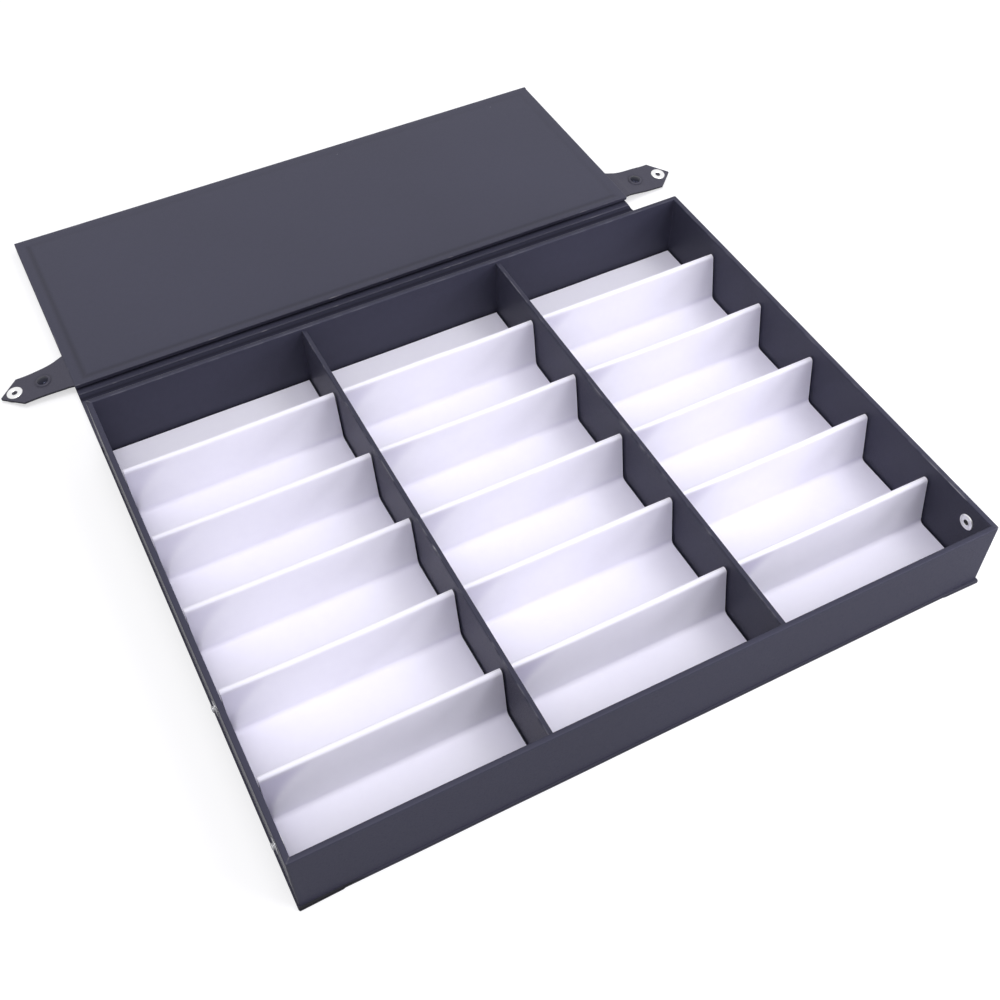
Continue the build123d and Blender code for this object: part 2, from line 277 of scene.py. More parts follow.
@dataclass
class Slab:
    """A flat panel with rounded edges, as a fine grid that can be pressed and waved."""

    low: Vector
    high: Vector
    edge: float
    step: float = 14 * MM
    extra_x: Sequence[float] = ()
    extra_y: Sequence[float] = ()
    flat_y: Sequence[float] = ()
    flat_side: float = 0.0

    def shell(self) -> Shell:
        """Build the panel's outer surface.

        Returns:
            The closed shell, with the rounded edges in its edge mask.
        """
        extras = (self.extra_x, self.extra_y, ())
        steps = (self.step, self.step, self.high.z - self.low.z)
        axes = [lines_between(self.low[i], self.high[i], self.edge, steps[i], extras[i]) for i in range(3)]
        counts = [len(a) for a in axes]
        index: dict[tuple[int, int, int], int] = {}
        spots: list[tuple[float, float, float]] = []

        def corner(key: tuple[int, int, int]) -> int:
            """The index of a lattice point, made when first asked for."""
            if key not in index:
                index[key] = len(spots)
                spots.append(tuple(axes[i][key[i]] for i in range(3)))
            return index[key]

        faces = []
        for axis in range(3):
            first, second = (axis + 1) % 3, (axis + 2) % 3
            for end in (0, counts[axis] - 1):
                for i in range(counts[first] - 1):
                    for j in range(counts[second] - 1):
                        quad = []
                        for di, dj in ((0, 0), (1, 0), (1, 1), (0, 1)):
                            key = [0, 0, 0]
                            key[axis], key[first], key[second] = end, i + di, j + dj
                            quad.append(corner(tuple(key)))
                        faces.append(tuple(quad) if end else tuple(quad[::-1]))
        points = np.array(spots)
        rounded, mask = self._rounded(points)
        return Shell(rounded, faces, {Mask.EDGE: mask})

    def _rounded(self, points: np.ndarray) -> tuple[np.ndarray, np.ndarray]:
        """Round the lattice's edges.

        Args:
            points: the square-edged lattice.

        Returns:
            The rounded points, and how far each one lies round an edge, 0 to 1.
        """
        low, high = np.array(self.low), np.array(self.high)
        core_low = np.tile(low + self.edge, (len(points), 1))
        core_high = np.tile(high - self.edge, (len(points), 1))
        middle = (low[2] + high[2]) / 2
        kept_flat = (points[:, 2] - middle) * self.flat_side > 0
        for place in self.flat_y:
            if place < (low[1] + high[1]) / 2:
                core_low[kept_flat, 1] = low[1]
            else:
                core_high[kept_flat, 1] = high[1]
        core = np.clip(points, core_low, core_high)
        away = points - core
        length = np.linalg.norm(away, axis=1)
        off_axes = (np.abs(away) > TINY).sum(axis=1)
        scale = (self.edge / np.maximum(length, TINY))[:, None]
        rounded = np.where((off_axes > 1)[:, None], core + away * scale, points)
        second = np.sort(np.abs(away), axis=1)[:, 1] / self.edge
        return rounded, np.clip(second, 0, 1)


def hermite(t: float, ends: tuple[float, float], slopes: tuple[float, float]) -> float:
    """A smooth curve between two values.

    Args:
        t: how far along the curve, 0 to 1.
        ends: its values at 0 and at 1.
        slopes: its rise there, per whole length.

    Returns:
        The value.
    """
    cube, square = t**3, t**2
    return (
        (2 * cube - 3 * square + 1) * ends[0] + (cube - 2 * square + t) * slopes[0]
        + (3 * square - 2 * cube) * ends[1] + (cube - square) * slopes[1]
    )


def box_shell(low: Vector, high: Vector) -> Shell:
    """The six faces of a plain box, for a hollow."""
    points = np.array(list(itertools.product((low.x, high.x), (low.y, high.y), (low.z, high.z))))
    faces = [(0, 1, 3, 2), (4, 6, 7, 5), (0, 4, 5, 1), (2, 3, 7, 6), (0, 2, 6, 4), (1, 5, 7, 3)]
    return Shell(points, faces)


def placed(origin: Vector, first: Vector, second: Vector, third: Vector) -> Matrix:
    """The frame at this origin with these three axes."""
    return Matrix.Translation(origin) @ Matrix((first, second, third)).transposed().to_4x4()


def eased(points: Profile, ease: float, steps: int) -> list[tuple[float, float]]:
    """Round the inner corners of an open outline.

    Args:
        points: the outline's corners in order.
        ease: how far from each corner the rounding starts, at most.
        steps: number of parts in each rounding.

    Returns:
        The rounded outline.
    """
    result = [tuple(points[0])]
    for before, corner, after in zip(points, points[1:], points[2:]):
        here = Vector(corner)
        back, ahead = Vector(before) - here, Vector(after) - here
        reach = min(ease, back.length * 0.45, ahead.length * 0.45)
        start, end = here + back.normalized() * reach, here + ahead.normalized() * reach
        for i in range(steps + 1):
            t = i / steps
            result.append(tuple(start * (1 - t) ** 2 + here * 2 * t * (1 - t) + end * t**2))
    result.append(tuple(points[-1]))
    return result


def offset(points: Profile, distance: float) -> list[tuple[float, float]]:
    """Move an open outline sideways.

    Args:
        points: the outline.
        distance: how far to its right, looking along it.

    Returns:
        The outline beside it, point for point.
    """
    spots = np.array(points)
    runs = np.diff(spots, axis=0)
    normals = np.stack([runs[:, 1], -runs[:, 0]], axis=1)
    normals /= np.linalg.norm(normals, axis=1)[:, None]
    mean = np.vstack([normals[:1], (normals[:-1] + normals[1:]) / 2, normals[-1:]])
    mean /= np.maximum((mean**2).sum(axis=1), 0.3)[:, None]
    return [tuple(p) for p in spots + mean * distance]


def extrude(outer: Profile, inner: Profile, stations: Sequence[float], order: str) -> Shell:
    """Run a skin between two matching outlines along an axis.

    Args:
        outer: the skin's outer line.
        inner: its inner line, point for point.
        stations: places along the axis.
        order: the axes of the outline's two values and of the stations, such as "yzx".

    Returns:
        The closed shell.
    """
    loop = list(outer) + list(inner)[::-1]
    count, size = len(outer), len(loop)
    columns = ["xyz".index(axis) for axis in order]
    points = np.zeros((len(stations) * size, 3))
    for row, station in enumerate(stations):
        block = slice(row * size, (row + 1) * size)
        points[block, columns[:2]] = loop
        points[block, columns[2]] = station
    faces = grid_faces(len(stations), size, False, True)
    last = (len(stations) - 1) * size
    for i in range(count - 1):
        quad = (i, i + 1, size - 2 - i, size - 1 - i)
        faces.append(quad)
        faces.append(tuple(last + k for k in quad[::-1]))
    return Shell(points, faces).facing_out()


def lathe(seat: Matrix, outline: Profile, dark_band: tuple[float, float] = (0.0, 0.0)) -> Shell:
    """Turn an outline of (radius, height) round a seat's third axis.

    Args:
        seat: where the piece stands.
        outline: the outline, which starts and ends on the axis.
        dark_band: faces between these two radii take the second material.

    Returns:
        The closed shell.
    """
    turns = LATHE_TURNS
    inside = list(outline)[1:-1]
    points = [seat @ Vector((0, 0, outline[0][1]))]
    for radius, height in inside:
        for i in range(turns):
            angle = 2 * math.pi * i / turns
            points.append(seat @ Vector((radius * math.cos(angle), radius * math.sin(angle), height)))
    points.append(seat @ Vector((0, 0, outline[-1][1])))
    faces = [tuple(k + 1 for k in face) for face in grid_faces(len(inside), turns, False, True)]
    last, start = len(points) - 1, len(points) - 1 - turns
    for i in range(turns):
        after = (i + 1) % turns
        faces.append((0, 1 + i, 1 + after))
        faces.append((last, start + after, start + i))
    shell = Shell(np.array([tuple(p) for p in points]), faces).facing_out()
    if dark_band[1]:
        axis = np.array(seat.to_3x3() @ Vector((0, 0, 1)))
        base = np.array(seat.translation)
        for face in shell.faces:
            middle = shell.points[list(face)].mean(axis=0) - base
            radius = np.linalg.norm(middle - axis * middle.dot(axis))
            shell.face_slots.append(int(dark_band[0] < radius < dark_band[1]))
    return shell


# Finishes


class NodeDesk:
    """Adds and joins shader nodes in one tree."""

    def __init__(self, tree: bpy.types.NodeTree) -> None:
        """Work on this tree."""
        self.tree = tree

    def add(self, kind: str, **settings: object) -> bpy.types.Node:
        """Add a node.

        Args:
            kind: the node's type, without its ShaderNode prefix.
            settings: properties to set on it.

        Returns:
            The node.
        """
        node = self.tree.nodes.new(f"ShaderNode{kind}")
        for name, value in settings.items():
            setattr(node, name, value)
        return node

    def feed(self, value: object, socket: bpy.types.NodeSocket) -> None:
        """Give an input its value.

        Args:
            value: another node's output, a number or a colour.
            socket: the input.
        """
        if isinstance(value, bpy.types.NodeSocket):
            self.tree.links.new(value, socket)
        elif socket.type == "RGBA":
            socket.default_value = (*value, 1)
        else:
            socket.default_value = value

    def maths(self, operation: str, *values: object) -> bpy.types.NodeSocket:
        """Work something out from sockets or numbers.

        Args:
            operation: what it works out.
            values: its inputs, each a socket or a number.

        Returns:
            The result's socket.
        """
        node = self.add("Math", operation=operation)
        for value, socket in zip(values, node.inputs):
            self.feed(value, socket)
        return node.outputs[0]

    def mix(self, share: object, first: object, second: object) -> bpy.types.NodeSocket:
        """Mix two colours, each a socket or a colour.

        Args:
            share: how much of the second, a socket or a number.
            first: the first colour.
            second: the second colour.

        Returns:
            The mixed colour's socket.
        """
        node = self.add("Mix", data_type="RGBA")
        for value, place in zip((share, first, second), MIX_INPUTS):
            self.feed(value, node.inputs[place])
        return node.outputs[MIX_OUTPUT]

    def noise(self, where: bpy.types.NodeSocket, scale: object, detail: float) -> bpy.types.NodeSocket:
        """Add a noise texture.

        Args:
            where: the coordinates that it reads.
            scale: its scale, a socket or a number.
            detail: its number of finer layers.

        Returns:
            The noise's socket, one half on average.
        """
        node = self.add("TexNoise")
        for value, name in ((where, "Vector"), (scale, "Scale"), (detail, "Detail")):
            self.feed(value, node.inputs[name])
        return node.outputs["Fac"]

    def mask(self, mask: Mask) -> bpy.types.NodeSocket:
        """One of the piece's own masks."""
        return self.add("Attribute", attribute_name=mask.value).outputs["Fac"]


def clear_tree(owner: bpy.types.Material | bpy.types.World) -> bpy.types.NodeTree:
    """The node tree of a material or a world, emptied."""
    owner.use_nodes = True
    owner.node_tree.nodes.clear()
    return owner.node_tree


@dataclass(frozen=True)
class GroupSpec:
    """A shader effect that several materials share."""

    name: str
    inputs: tuple[tuple[str, str, float], ...]
    outputs: tuple[tuple[str, str], ...]
    fill: Callable[[NodeDesk, Sockets, Sockets], None]

    def tree(self) -> bpy.types.NodeTree:
        """Find the effect's node group, or build it the first time it is asked for.

        Returns:
            The node group.
        """
        found = bpy.data.node_groups.get(self.name)
        if found:
            return found
        tree = bpy.data.node_groups.new(self.name, "ShaderNodeTree")
        for name, kind, value in self.inputs:
            socket = tree.interface.new_socket(name, in_out="INPUT", socket_type=f"NodeSocket{kind}")
            if kind == "Float":
                socket.default_value = value
        for name, kind in self.outputs:
            tree.interface.new_socket(name, in_out="OUTPUT", socket_type=f"NodeSocket{kind}")
        given, result = tree.nodes.new("NodeGroupInput"), tree.nodes.new("NodeGroupOutput")
        self.fill(NodeDesk(tree), given.outputs, result.inputs)
        return tree


def fill_grain(desk: NodeDesk, given: Sockets, result: Sockets) -> None:
    """Fine pebbles with creases between them, broken up by a finer noise.

    Args:
        desk: the group's node desk.
        given: the group's inputs.
        result: the group's outputs.
    """
    smoothness, finer, fine_share = 0.35, 2.3, 0.35
    cells = desk.add("TexVoronoi", feature="SMOOTH_F1")
    desk.feed(smoothness, cells.inputs["Smoothness"])
    desk.feed(given["Vector"], cells.inputs["Vector"])
    desk.feed(given["Cells per metre"], cells.inputs["Scale"])
    fine = desk.noise(given["Vector"], desk.maths("MULTIPLY", given["Cells per metre"], finer), 3)
    pebble = desk.maths("SUBTRACT", 1.0, cells.outputs["Distance"])
    desk.feed(desk.maths("MULTIPLY_ADD", fine, fine_share, pebble), result["Height"])
    desk.feed(desk.maths("POWER", cells.outputs["Distance"], 2.0), result["Pits"])


def fill_drift(desk: NodeDesk, given: Sockets, result: Sockets) -> None:
    """Slow and fine changes of tone about a value of one half.

    Args:
        desk: the group's node desk.
        given: the group's inputs.
        result: the group's outputs.
    """
    slow_share, fine_share, finer = 0.6, 0.4, 24.0
    slow = desk.noise(given["Vector"], given["Patches per metre"], 2)
    fine = desk.noise(given["Vector"], desk.maths("MULTIPLY", given["Patches per metre"], finer), 5)
    slow_part = desk.maths("MULTIPLY", slow, slow_share)
    desk.feed(desk.maths("MULTIPLY_ADD", fine, fine_share, slow_part), result["Tone"])


def fill_wear(desk: NodeDesk, given: Sockets, result: Sockets) -> None:
    """Rubbed edges: the edge mask, broken up along its length.

    Args:
        desk: the group's node desk.
        given: the group's inputs.
        result: the group's outputs.
    """
    contrast = 6.0
    patches = desk.noise(given["Vector"], given["Breaks per metre"], 4)
    level = desk.maths("ADD", patches, desk.maths("SUBTRACT", given["Amount"], 1.0))
    wear_and_highlight = desk.add("Clamp")
    desk.feed(desk.maths("MULTIPLY", level, contrast), wear_and_highlight.inputs["Value"])
    desk.feed(desk.maths("MULTIPLY", wear_and_highlight.outputs[0], given["Edge"]), result["Mask"])


def fill_specks(desk: NodeDesk, given: Sockets, result: Sockets) -> None:
    """Sparse dust and lint specks.

    Args:
        desk: the group's node desk.
        given: the group's inputs.
        result: the group's outputs.
    """
    speck_radius = 0.045
    spots = desk.add("TexVoronoi", feature="F1")
    desk.feed(given["Vector"], spots.inputs["Vector"])
    desk.feed(given["Specks per metre"], spots.inputs["Scale"])
    near = desk.maths("LESS_THAN", spots.outputs["Distance"], speck_radius)
    chosen = desk.add("SeparateColor")
    desk.feed(spots.outputs["Color"], chosen.inputs[0])
    rare = desk.maths("LESS_THAN", chosen.outputs[0], given["Share"])
    desk.feed(desk.maths("MULTIPLY", near, rare), result["Mask"])


VECTOR_INPUT = ("Vector", "Vector", 0)
MASK_OUTPUT = (("Mask", "Float"),)
GRAIN = GroupSpec(
    "pebble_grain",
    (VECTOR_INPUT, ("Cells per metre", "Float", 1400)),
    (("Height", "Float"), ("Pits", "Float")),
    fill_grain,
)
DRIFT = GroupSpec(
    "tone_drift", (VECTOR_INPUT, ("Patches per metre", "Float", 12)), (("Tone", "Float"),), fill_drift
)
WEAR = GroupSpec(
    "rubbed_edge",
    (VECTOR_INPUT, ("Edge", "Float", 0), ("Amount", "Float", 0.5), ("Breaks per metre", "Float", 60)),
    MASK_OUTPUT,
    fill_wear,
)
SPECKS = GroupSpec(
    "dust_specks",
    (VECTOR_INPUT, ("Specks per metre", "Float", 80), ("Share", "Float", 0.03)),
    MASK_OUTPUT,
    fill_specks,
)


class MaterialDesk(NodeDesk):
    """The node desk of one finish's material, with its shader and its coordinates."""

    def __init__(self, material: bpy.types.Material) -> None:
        """Start this material with its shader alone."""
        super().__init__(clear_tree(material))
        self.shader = self.add("BsdfPrincipled")
        self.feed(self.shader.outputs[0], self.add("OutputMaterial").inputs[0])
        self.where = self.add("TexCoord").outputs["Object"]

    def give(self, name: str, value: object) -> None:
        """Give one of the shader's inputs its value."""
        self.feed(value, self.shader.inputs[name])

    def effect(self, spec: GroupSpec, **values: object) -> Sockets:
        """Place a shared effect in the material.

        Args:
            spec: the effect.
            values: its inputs, with _ for a space, each a number or a socket.

        Returns:
            What the effect puts out.
        """
        node = self.add("Group", node_tree=spec.tree())
        self.feed(self.where, node.inputs["Vector"])
        for key, value in values.items():
            self.feed(value, node.inputs[key.replace("_", " ")])
        return node.outputs

    def relief(self, height: bpy.types.NodeSocket, depth: float) -> None:
        """Bump the surface.

        Args:
            height: the height's socket.
            depth: how deep the relief is, in metres.
        """
        node = self.add("Bump")
        for value, name in ((1.0, "Strength"), (depth, "Distance"), (height, "Height")):
            self.feed(value, node.inputs[name])
        self.give("Normal", node.outputs[0])


@dataclass(frozen=True)
class Finish:
    """What every finish has: a name, a record slot and a base material."""

    name: str
    slot: str
    colour: Colour
    roughness: float

    def material(self) -> bpy.types.Material:
        """Find the material, or build it the first time it is asked for.

        Returns:
            The material.
        """
        found = bpy.data.materials.get(self.name)
        if found:
            return found
        made = bpy.data.materials.new(self.name)
        desk = MaterialDesk(made)
        desk.give("Base Color", self.colour)
        desk.give("Roughness", self.roughness)
        self.dress(desk)
        return made

    def dress(self, desk: MaterialDesk) -> None:
        """Add the finish's own nodes; the plain finish has none."""


@dataclass(frozen=True)
class Leatherette(Finish):
    """Coated fabric with a fine grain, worn a little along its edges."""

    cells: float = 1500
    depth: float = 0.05 * MM
    light_tone: float = 1.16
    dark_tone: float = 0.86
    worn: Colour = srgb(158, 156, 160)
    wear: float = 0.45
    wear_share: float = 0.55
    crease_share: float = 0.6
    crease_tone: float = 0.35
    specks: float = 0.012
    speck_share: float = 0.5
    gloss: float = 0.28
    pit_roughness: float = 0.18
    drift_roughness: float = 0.06
    grazing_coat: float = 0.0
    grazing_power: float = 12.0
    coat_roughness: float = 0.12

    def dress(self, desk: MaterialDesk) -> None:
        """Tone, worn edges, painted shade, dust and grain.

        Args:
            desk: the material's desk.
        """
        desk.give("Specular IOR Level", self.gloss)
        if self.grazing_coat:
            facing = desk.add("LayerWeight").outputs["Facing"]
            grazing = desk.maths("POWER", facing, self.grazing_power)
            desk.give("Coat Weight", desk.maths("MULTIPLY", grazing, self.grazing_coat))
            desk.give("Coat Roughness", self.coat_roughness)
        drift = desk.effect(DRIFT, Patches_per_metre=9.0)["Tone"]
        colour = desk.mix(drift, toned(self.colour, self.dark_tone), toned(self.colour, self.light_tone))
        # Painted shade: the colour goes towards a darker tone where the painted shade mask is set.
        crease = desk.maths("MULTIPLY", desk.mask(Mask.CREASE), self.crease_share)
        colour = desk.mix(crease, colour, toned(self.colour, self.crease_tone))
        # Worn edges in the worn colour; where the tray's edge mask marks the rear rim, this is a painted
        # highlight.
        wear = desk.effect(WEAR, Edge=desk.mask(Mask.EDGE), Amount=self.wear, Breaks_per_metre=70.0)
        colour = desk.mix(desk.maths("MULTIPLY", wear["Mask"], self.wear_share), colour, self.worn)
        specks = desk.effect(SPECKS, Specks_per_metre=110.0, Share=self.specks)
        colour = desk.mix(desk.maths("MULTIPLY", specks["Mask"], self.speck_share), colour, self.worn)
        desk.give("Base Color", colour)
        grain = desk.effect(GRAIN, Cells_per_metre=self.cells)
        rough = desk.maths("MULTIPLY_ADD", grain["Pits"], self.pit_roughness, self.roughness)
        desk.give("Roughness", desk.maths("MULTIPLY_ADD", drift, self.drift_roughness, rough))
        desk.relief(grain["Height"], self.depth)


@dataclass(frozen=True)
class Card(Finish):
    """Smooth pale card with faint fibres, or raw board with coarser ones."""

    # The colour of the painted shade, and the far end of the tone drift.
    shade: Colour = srgb(200, 194, 223)
    drift_share: float = 0.2
    crease_share: float = 0.8
    fibres: float = 900
    fibre_stretch: tuple[float, float, float] = (0.3, 1, 1)
    fibre_roughness: float = 0.15
    depth: float = 0.02 * MM
    gloss: float = 0.3

    def dress(self, desk: MaterialDesk) -> None:
        """Tone, painted shade where the painted shade mask is set, and fibres.

        Args:
            desk: the material's desk.
        """
        desk.give("Specular IOR Level", self.gloss)
        drift = desk.effect(DRIFT, Patches_per_metre=7.0)["Tone"]
        colour = desk.mix(desk.maths("MULTIPLY", drift, self.drift_share), self.colour, self.shade)
        # Painted shade: the card goes to the shade colour where the painted shade mask is set.
        crease = desk.maths("MULTIPLY", desk.mask(Mask.CREASE), self.crease_share)
        desk.give("Base Color", desk.mix(crease, colour, self.shade))
        stretched = desk.add("Mapping")
        desk.feed(self.fibre_stretch, stretched.inputs["Scale"])
        desk.feed(desk.where, stretched.inputs["Vector"])
        fibre = desk.noise(stretched.outputs[0], self.fibres, 6)
        desk.relief(fibre, self.depth)
        desk.give("Roughness", desk.maths("MULTIPLY_ADD", fibre, self.fibre_roughness, self.roughness))


@dataclass(frozen=True)
class Suede(Finish):
    """Short-napped lining."""

    nap: Colour = srgb(52, 52, 63)
    gloss: float = 0.1
    sheen: float = 0.05
    sheen_roughness: float = 0.5
    depth: float = 0.06 * MM

    def dress(self, desk: MaterialDesk) -> None:
        """Mottled nap with a soft sheen.

        Args:
            desk: the material's desk.
        """
        desk.give("Specular IOR Level", self.gloss)
        desk.give("Sheen Weight", self.sheen)
        desk.give("Sheen Roughness", self.sheen_roughness)
        drift = desk.effect(DRIFT, Patches_per_metre=28.0)["Tone"]
        desk.give("Base Color", desk.mix(drift, self.colour, self.nap))
        desk.relief(desk.effect(GRAIN, Cells_per_metre=3200.0)["Height"], self.depth)


@dataclass(frozen=True)
class Plated(Finish):
    """Plated or blackened snap metal with fine handling marks."""

    metallic: float = 1.0
    tint: Colour = WHITE
    dull_tone: float = 0.8
    polish: float = 0.08
    mark_roughness: float = 0.22

    def dress(self, desk: MaterialDesk) -> None:
        """Metal whose roughness changes a little over the surface.

        Args:
            desk: the material's desk.
        """
        desk.give("Metallic", self.metallic)
        desk.give("Specular Tint", self.tint)
        drift = desk.effect(DRIFT, Patches_per_metre=260.0)["Tone"]
        smoothest = self.roughness - self.polish
        desk.give("Roughness", desk.maths("MULTIPLY_ADD", drift, self.mark_roughness, smoothest))
        desk.give("Base Color", desk.mix(drift, self.colour, toned(self.colour, self.dull_tone)))


SKIN_COLOUR = srgb(60, 60, 75)
OUTER_LEATHERETTE = Leatherette("outer_skin", "leatherette", SKIN_COLOUR, 0.38)
# The base's skin takes a deep painted shade on its lip.
BASE_LEATHERETTE = Leatherette(
    "base_skin", "leatherette", SKIN_COLOUR, 0.45, crease_share=1.1, crease_tone=0.15, wear=0.2, gloss=0.2
)
TRAY_LEATHERETTE = Leatherette(
    "tray_skin", "leatherette", SKIN_COLOUR, 0.38, wear=0.52, gloss=0.17, grazing_coat=1.0
)
# Painted shade: a dark finish on the floor board, for the shade in the narrow gaps beside the inserts.
FLOOR_GAP_SHADE = Leatherette("dark_paper", "board", srgb(40, 40, 50), 0.6, wear=0.0, specks=0.0)
HINGE_LINING = Leatherette(
    "hinge_lining", "leatherette", srgb(46, 46, 60), 0.6, wear=0.0, specks=0.0, gloss=0.1
)
STRAP_LEATHER = Leatherette(
    "strap_hide", "strap_leather", srgb(66, 65, 77), 0.42, cells=1200, depth=0.07 * MM,
    worn=srgb(22, 22, 26), wear=1.6, specks=0.0,
)
INSERT_CARD = Card("white_card", "insert_card", srgb(250, 249, 255), 0.6)
RAW_BOARD = Card(
    "raw_board", "board", srgb(178, 160, 136), 0.8, shade=srgb(140, 124, 104), fibres=420, depth=0.08 * MM
)
LINING_SUEDE = Suede("lining_nap", "lining", srgb(40, 40, 50), 0.9)
BRIGHT_SNAP = Plated("snap_bright", "bright_snap", srgb(254, 254, 254), 0.28, metallic=0.8)
DARK_SNAP = Plated("snap_black", "dark_snap", srgb(4, 4, 9), 0.1, metallic=0.0, tint=(0.5, 0.52, 0.8))
STUD_METAL = Plated("stud_steel", "stud_metal", srgb(205, 205, 208), 0.2)
# Painted shade: dark metal standing in for the shadow deep in the snap bores.
BORE_SHADE = Plated("bore_shade", "dark_snap", srgb(40, 38, 38), 0.5, metallic=0.3)
SLOT_FINISHES = {
    finish.slot: finish
    for finish in (
        OUTER_LEATHERETTE, STRAP_LEATHER, INSERT_CARD, RAW_BOARD, LINING_SUEDE,
        BRIGHT_SNAP, DARK_SNAP, STUD_METAL,
    )
}


def dress_piece(
    shell: Shell,
    name: str,
    finishes: Sequence[Finish],
    body: str | tuple[str, str, Vector, Vector],
    stands_for: Sequence[str] = (),
) -> bpy.types.Object:
    """Build a piece, give it its finish and hang it on its body when it is given one.

    Args:
        shell: the piece's surface.
        name: the piece's name.
        finishes: its materials, the main one first.
        body: the body that it rides on, or two bodies and two points, which are not used: such a piece is left
            where it is built.
        stands_for: the solids that it replaces.

    Returns:
        The piece.
    """
    piece = shell.build(name)
    for finish in finishes:
        piece.data.materials.append(finish.material())
    if isinstance(body, str):
        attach(piece, body)
    else:
        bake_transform(piece)
    if stands_for:
        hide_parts(*stands_for)
    log.info("%s: %d points, for %s", name, len(shell.points), ", ".join(stands_for) or "itself")
    return piece


# Sub-assemblies


@dataclass
class Tray:
    """The leatherette tray: base panel, wrapped walls and the two dividers."""

    rim_ease: float = 0.8 * MM
    corner: float = 1.2 * MM
    inner_corner: float = 0.3 * MM
    corner_steps: int = 4
    side_steps: int = 44
    wall_rows: tuple[float, ...] = (0.06, 0.2, 0.4, 0.6, 0.8, 0.93)
    wall_wave: float = 0.1 * MM
    rim_wave: float = 0.04 * MM
    rim_zone: float = 6 * MM
    mitre_width: float = 0.9 * MM
    foot_shade: float = 1.5 * MM
    base_edge: float = 0.9 * MM
    fold_length: float = 28 * MM
    fold_brink: float = 0.8 * MM
    fold_swell: float = 1.0 * MM
    fold_end_share: float = 0.45
    front_wave: float = 0.12 * MM
    divider_rows: tuple[float, ...] = (0.25, 0.5, 0.75, 0.92)
    divider_ease: float = 0.5 * MM
    divider_wave: float = 0.35 * MM
    divider_top_wave: float = 0.12 * MM
    seam_place: float = 0.35 * MM
    seam_half: float = 0.25 * MM
    seam_depth: float = 0.1 * MM
    scuff_y: tuple[float, ...] = (-36 * MM, -27 * MM)
    scuff_reach: float = 3.5 * MM

    def build(self) -> None:
        """Build the tray's pieces."""
        self.base()
        self.walls()
        for side in Side:
            self.divider(side)

    def base(self) -> None:
        """The base panel's cover, thicker where its corners are folded in at the front, with painted shade on its
        lip.
        """
        low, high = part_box("base_cover")
        edge, brink = self.base_edge, self.fold_brink
        fold_x = high.x - self.fold_length
        marks = [s * v for s in (-1, 1) for v in (fold_x - brink, fold_x + brink)]
        shell = Slab(low, high, edge, extra_x=marks, flat_y=(high.y,), flat_side=-1).shell()
        x, y, z = shell.points.T.copy()
        in_fold = smooth_step((np.abs(x) - fold_x + brink) / (2 * brink))
        at_front = np.clip((low.y + edge - y) / edge, 0, 1)
        at_lip = np.clip((low.y + 1.3 * edge - y) / (0.7 * edge), 0, 1)
        along_fold = smooth_step((np.abs(x) - fold_x) / self.fold_length)
        taper = self.fold_end_share + (1 - self.fold_end_share) * along_fold
        shell.points[:, 1] -= in_fold * at_front * taper * self.fold_swell
        shell.points[:, 1] += at_front * ripple(x, x, 120 * MM, self.front_wave, 3)
        at_side = np.clip((np.abs(x) - high.x + edge) / edge, 0, 1)
        # Painted shade on the lip, darkest towards the left end, along the underside edge, and a little on the
        # sides.
        dark = 0.4 + 0.6 * smooth_step((low.x + 1.6 * self.fold_length - x) / (0.5 * self.fold_length))
        under = bump(z - low.z, edge)
        shell.masks[Mask.CREASE] = np.maximum(at_lip * np.maximum(dark, under), 0.3 * at_side)
        board_low, board_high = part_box("base_board")
        skin = board_low.z - low.z
        hollow = box_shell(board_low, Vector((board_high.x, board_high.y, high.z - skin)))
        whole = shell.with_cavity(hollow)
        dress_piece(whole, "base_panel_cover", [BASE_LEATHERETTE], "tray", ["base_cover"])

    def walls(self) -> None:
        """The leatherette over the walls, one ring that turns over the rim."""
        low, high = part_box("tray_wrap")
        board_low, board_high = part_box("front_wall")
        floor_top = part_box("tray_floor")[1].z
        skin = board_low.y - low.y
        wall = board_high.y - low.y + skin
        levels = [low.z + (high.z - low.z) * share for share in self.wall_rows]
        outer = [(0.0, low.z), *((0.0, z) for z in levels), (0.0, high.z), (wall, high.z)]
        outer += [*((wall, z) for z in levels[::-1]), (wall, floor_top)]
        outline = eased(outer, self.rim_ease, 5)
        inner = offset(outline, skin)
        inner[0], inner[-1] = (skin, low.z), (wall - skin, floor_top)
        loop = outline + inner[::-1]
        rings = []
        for inset, z in loop:
            radius = max(self.corner - inset, self.inner_corner)
            ring, normal = self._ring(high.x - inset, high.y - inset, radius)
            rise = ripple(ring[:, 0] + ring[:, 1], np.full(len(ring), z), 150 * MM, self.wall_wave, 8)
            hold = math.sin(math.pi * min(1, max(0, (z - low.z) / (high.z - low.z))) * 0.75)
            ring = ring + normal * (rise * hold)[:, None]
            top = smooth_step(np.array((z - high.z + self.rim_zone) / self.rim_zone))
            lift = ripple(ring[:, 0], ring[:, 1], 220 * MM, self.rim_wave, 5) * top
            rings.append(np.column_stack([ring, np.full(len(ring), z) + lift]))
        faces = grid_faces(len(loop), len(rings[0]), True, True)
        shell = Shell(np.vstack(rings), faces).facing_out()
        insets, heights = np.repeat(loop, len(rings[0]), axis=0).T
        self._shade_walls(shell, insets, heights, wall)
        dress_piece(shell, "tray_wall_cover", [TRAY_LEATHERETTE], "tray", ["tray_wrap"])

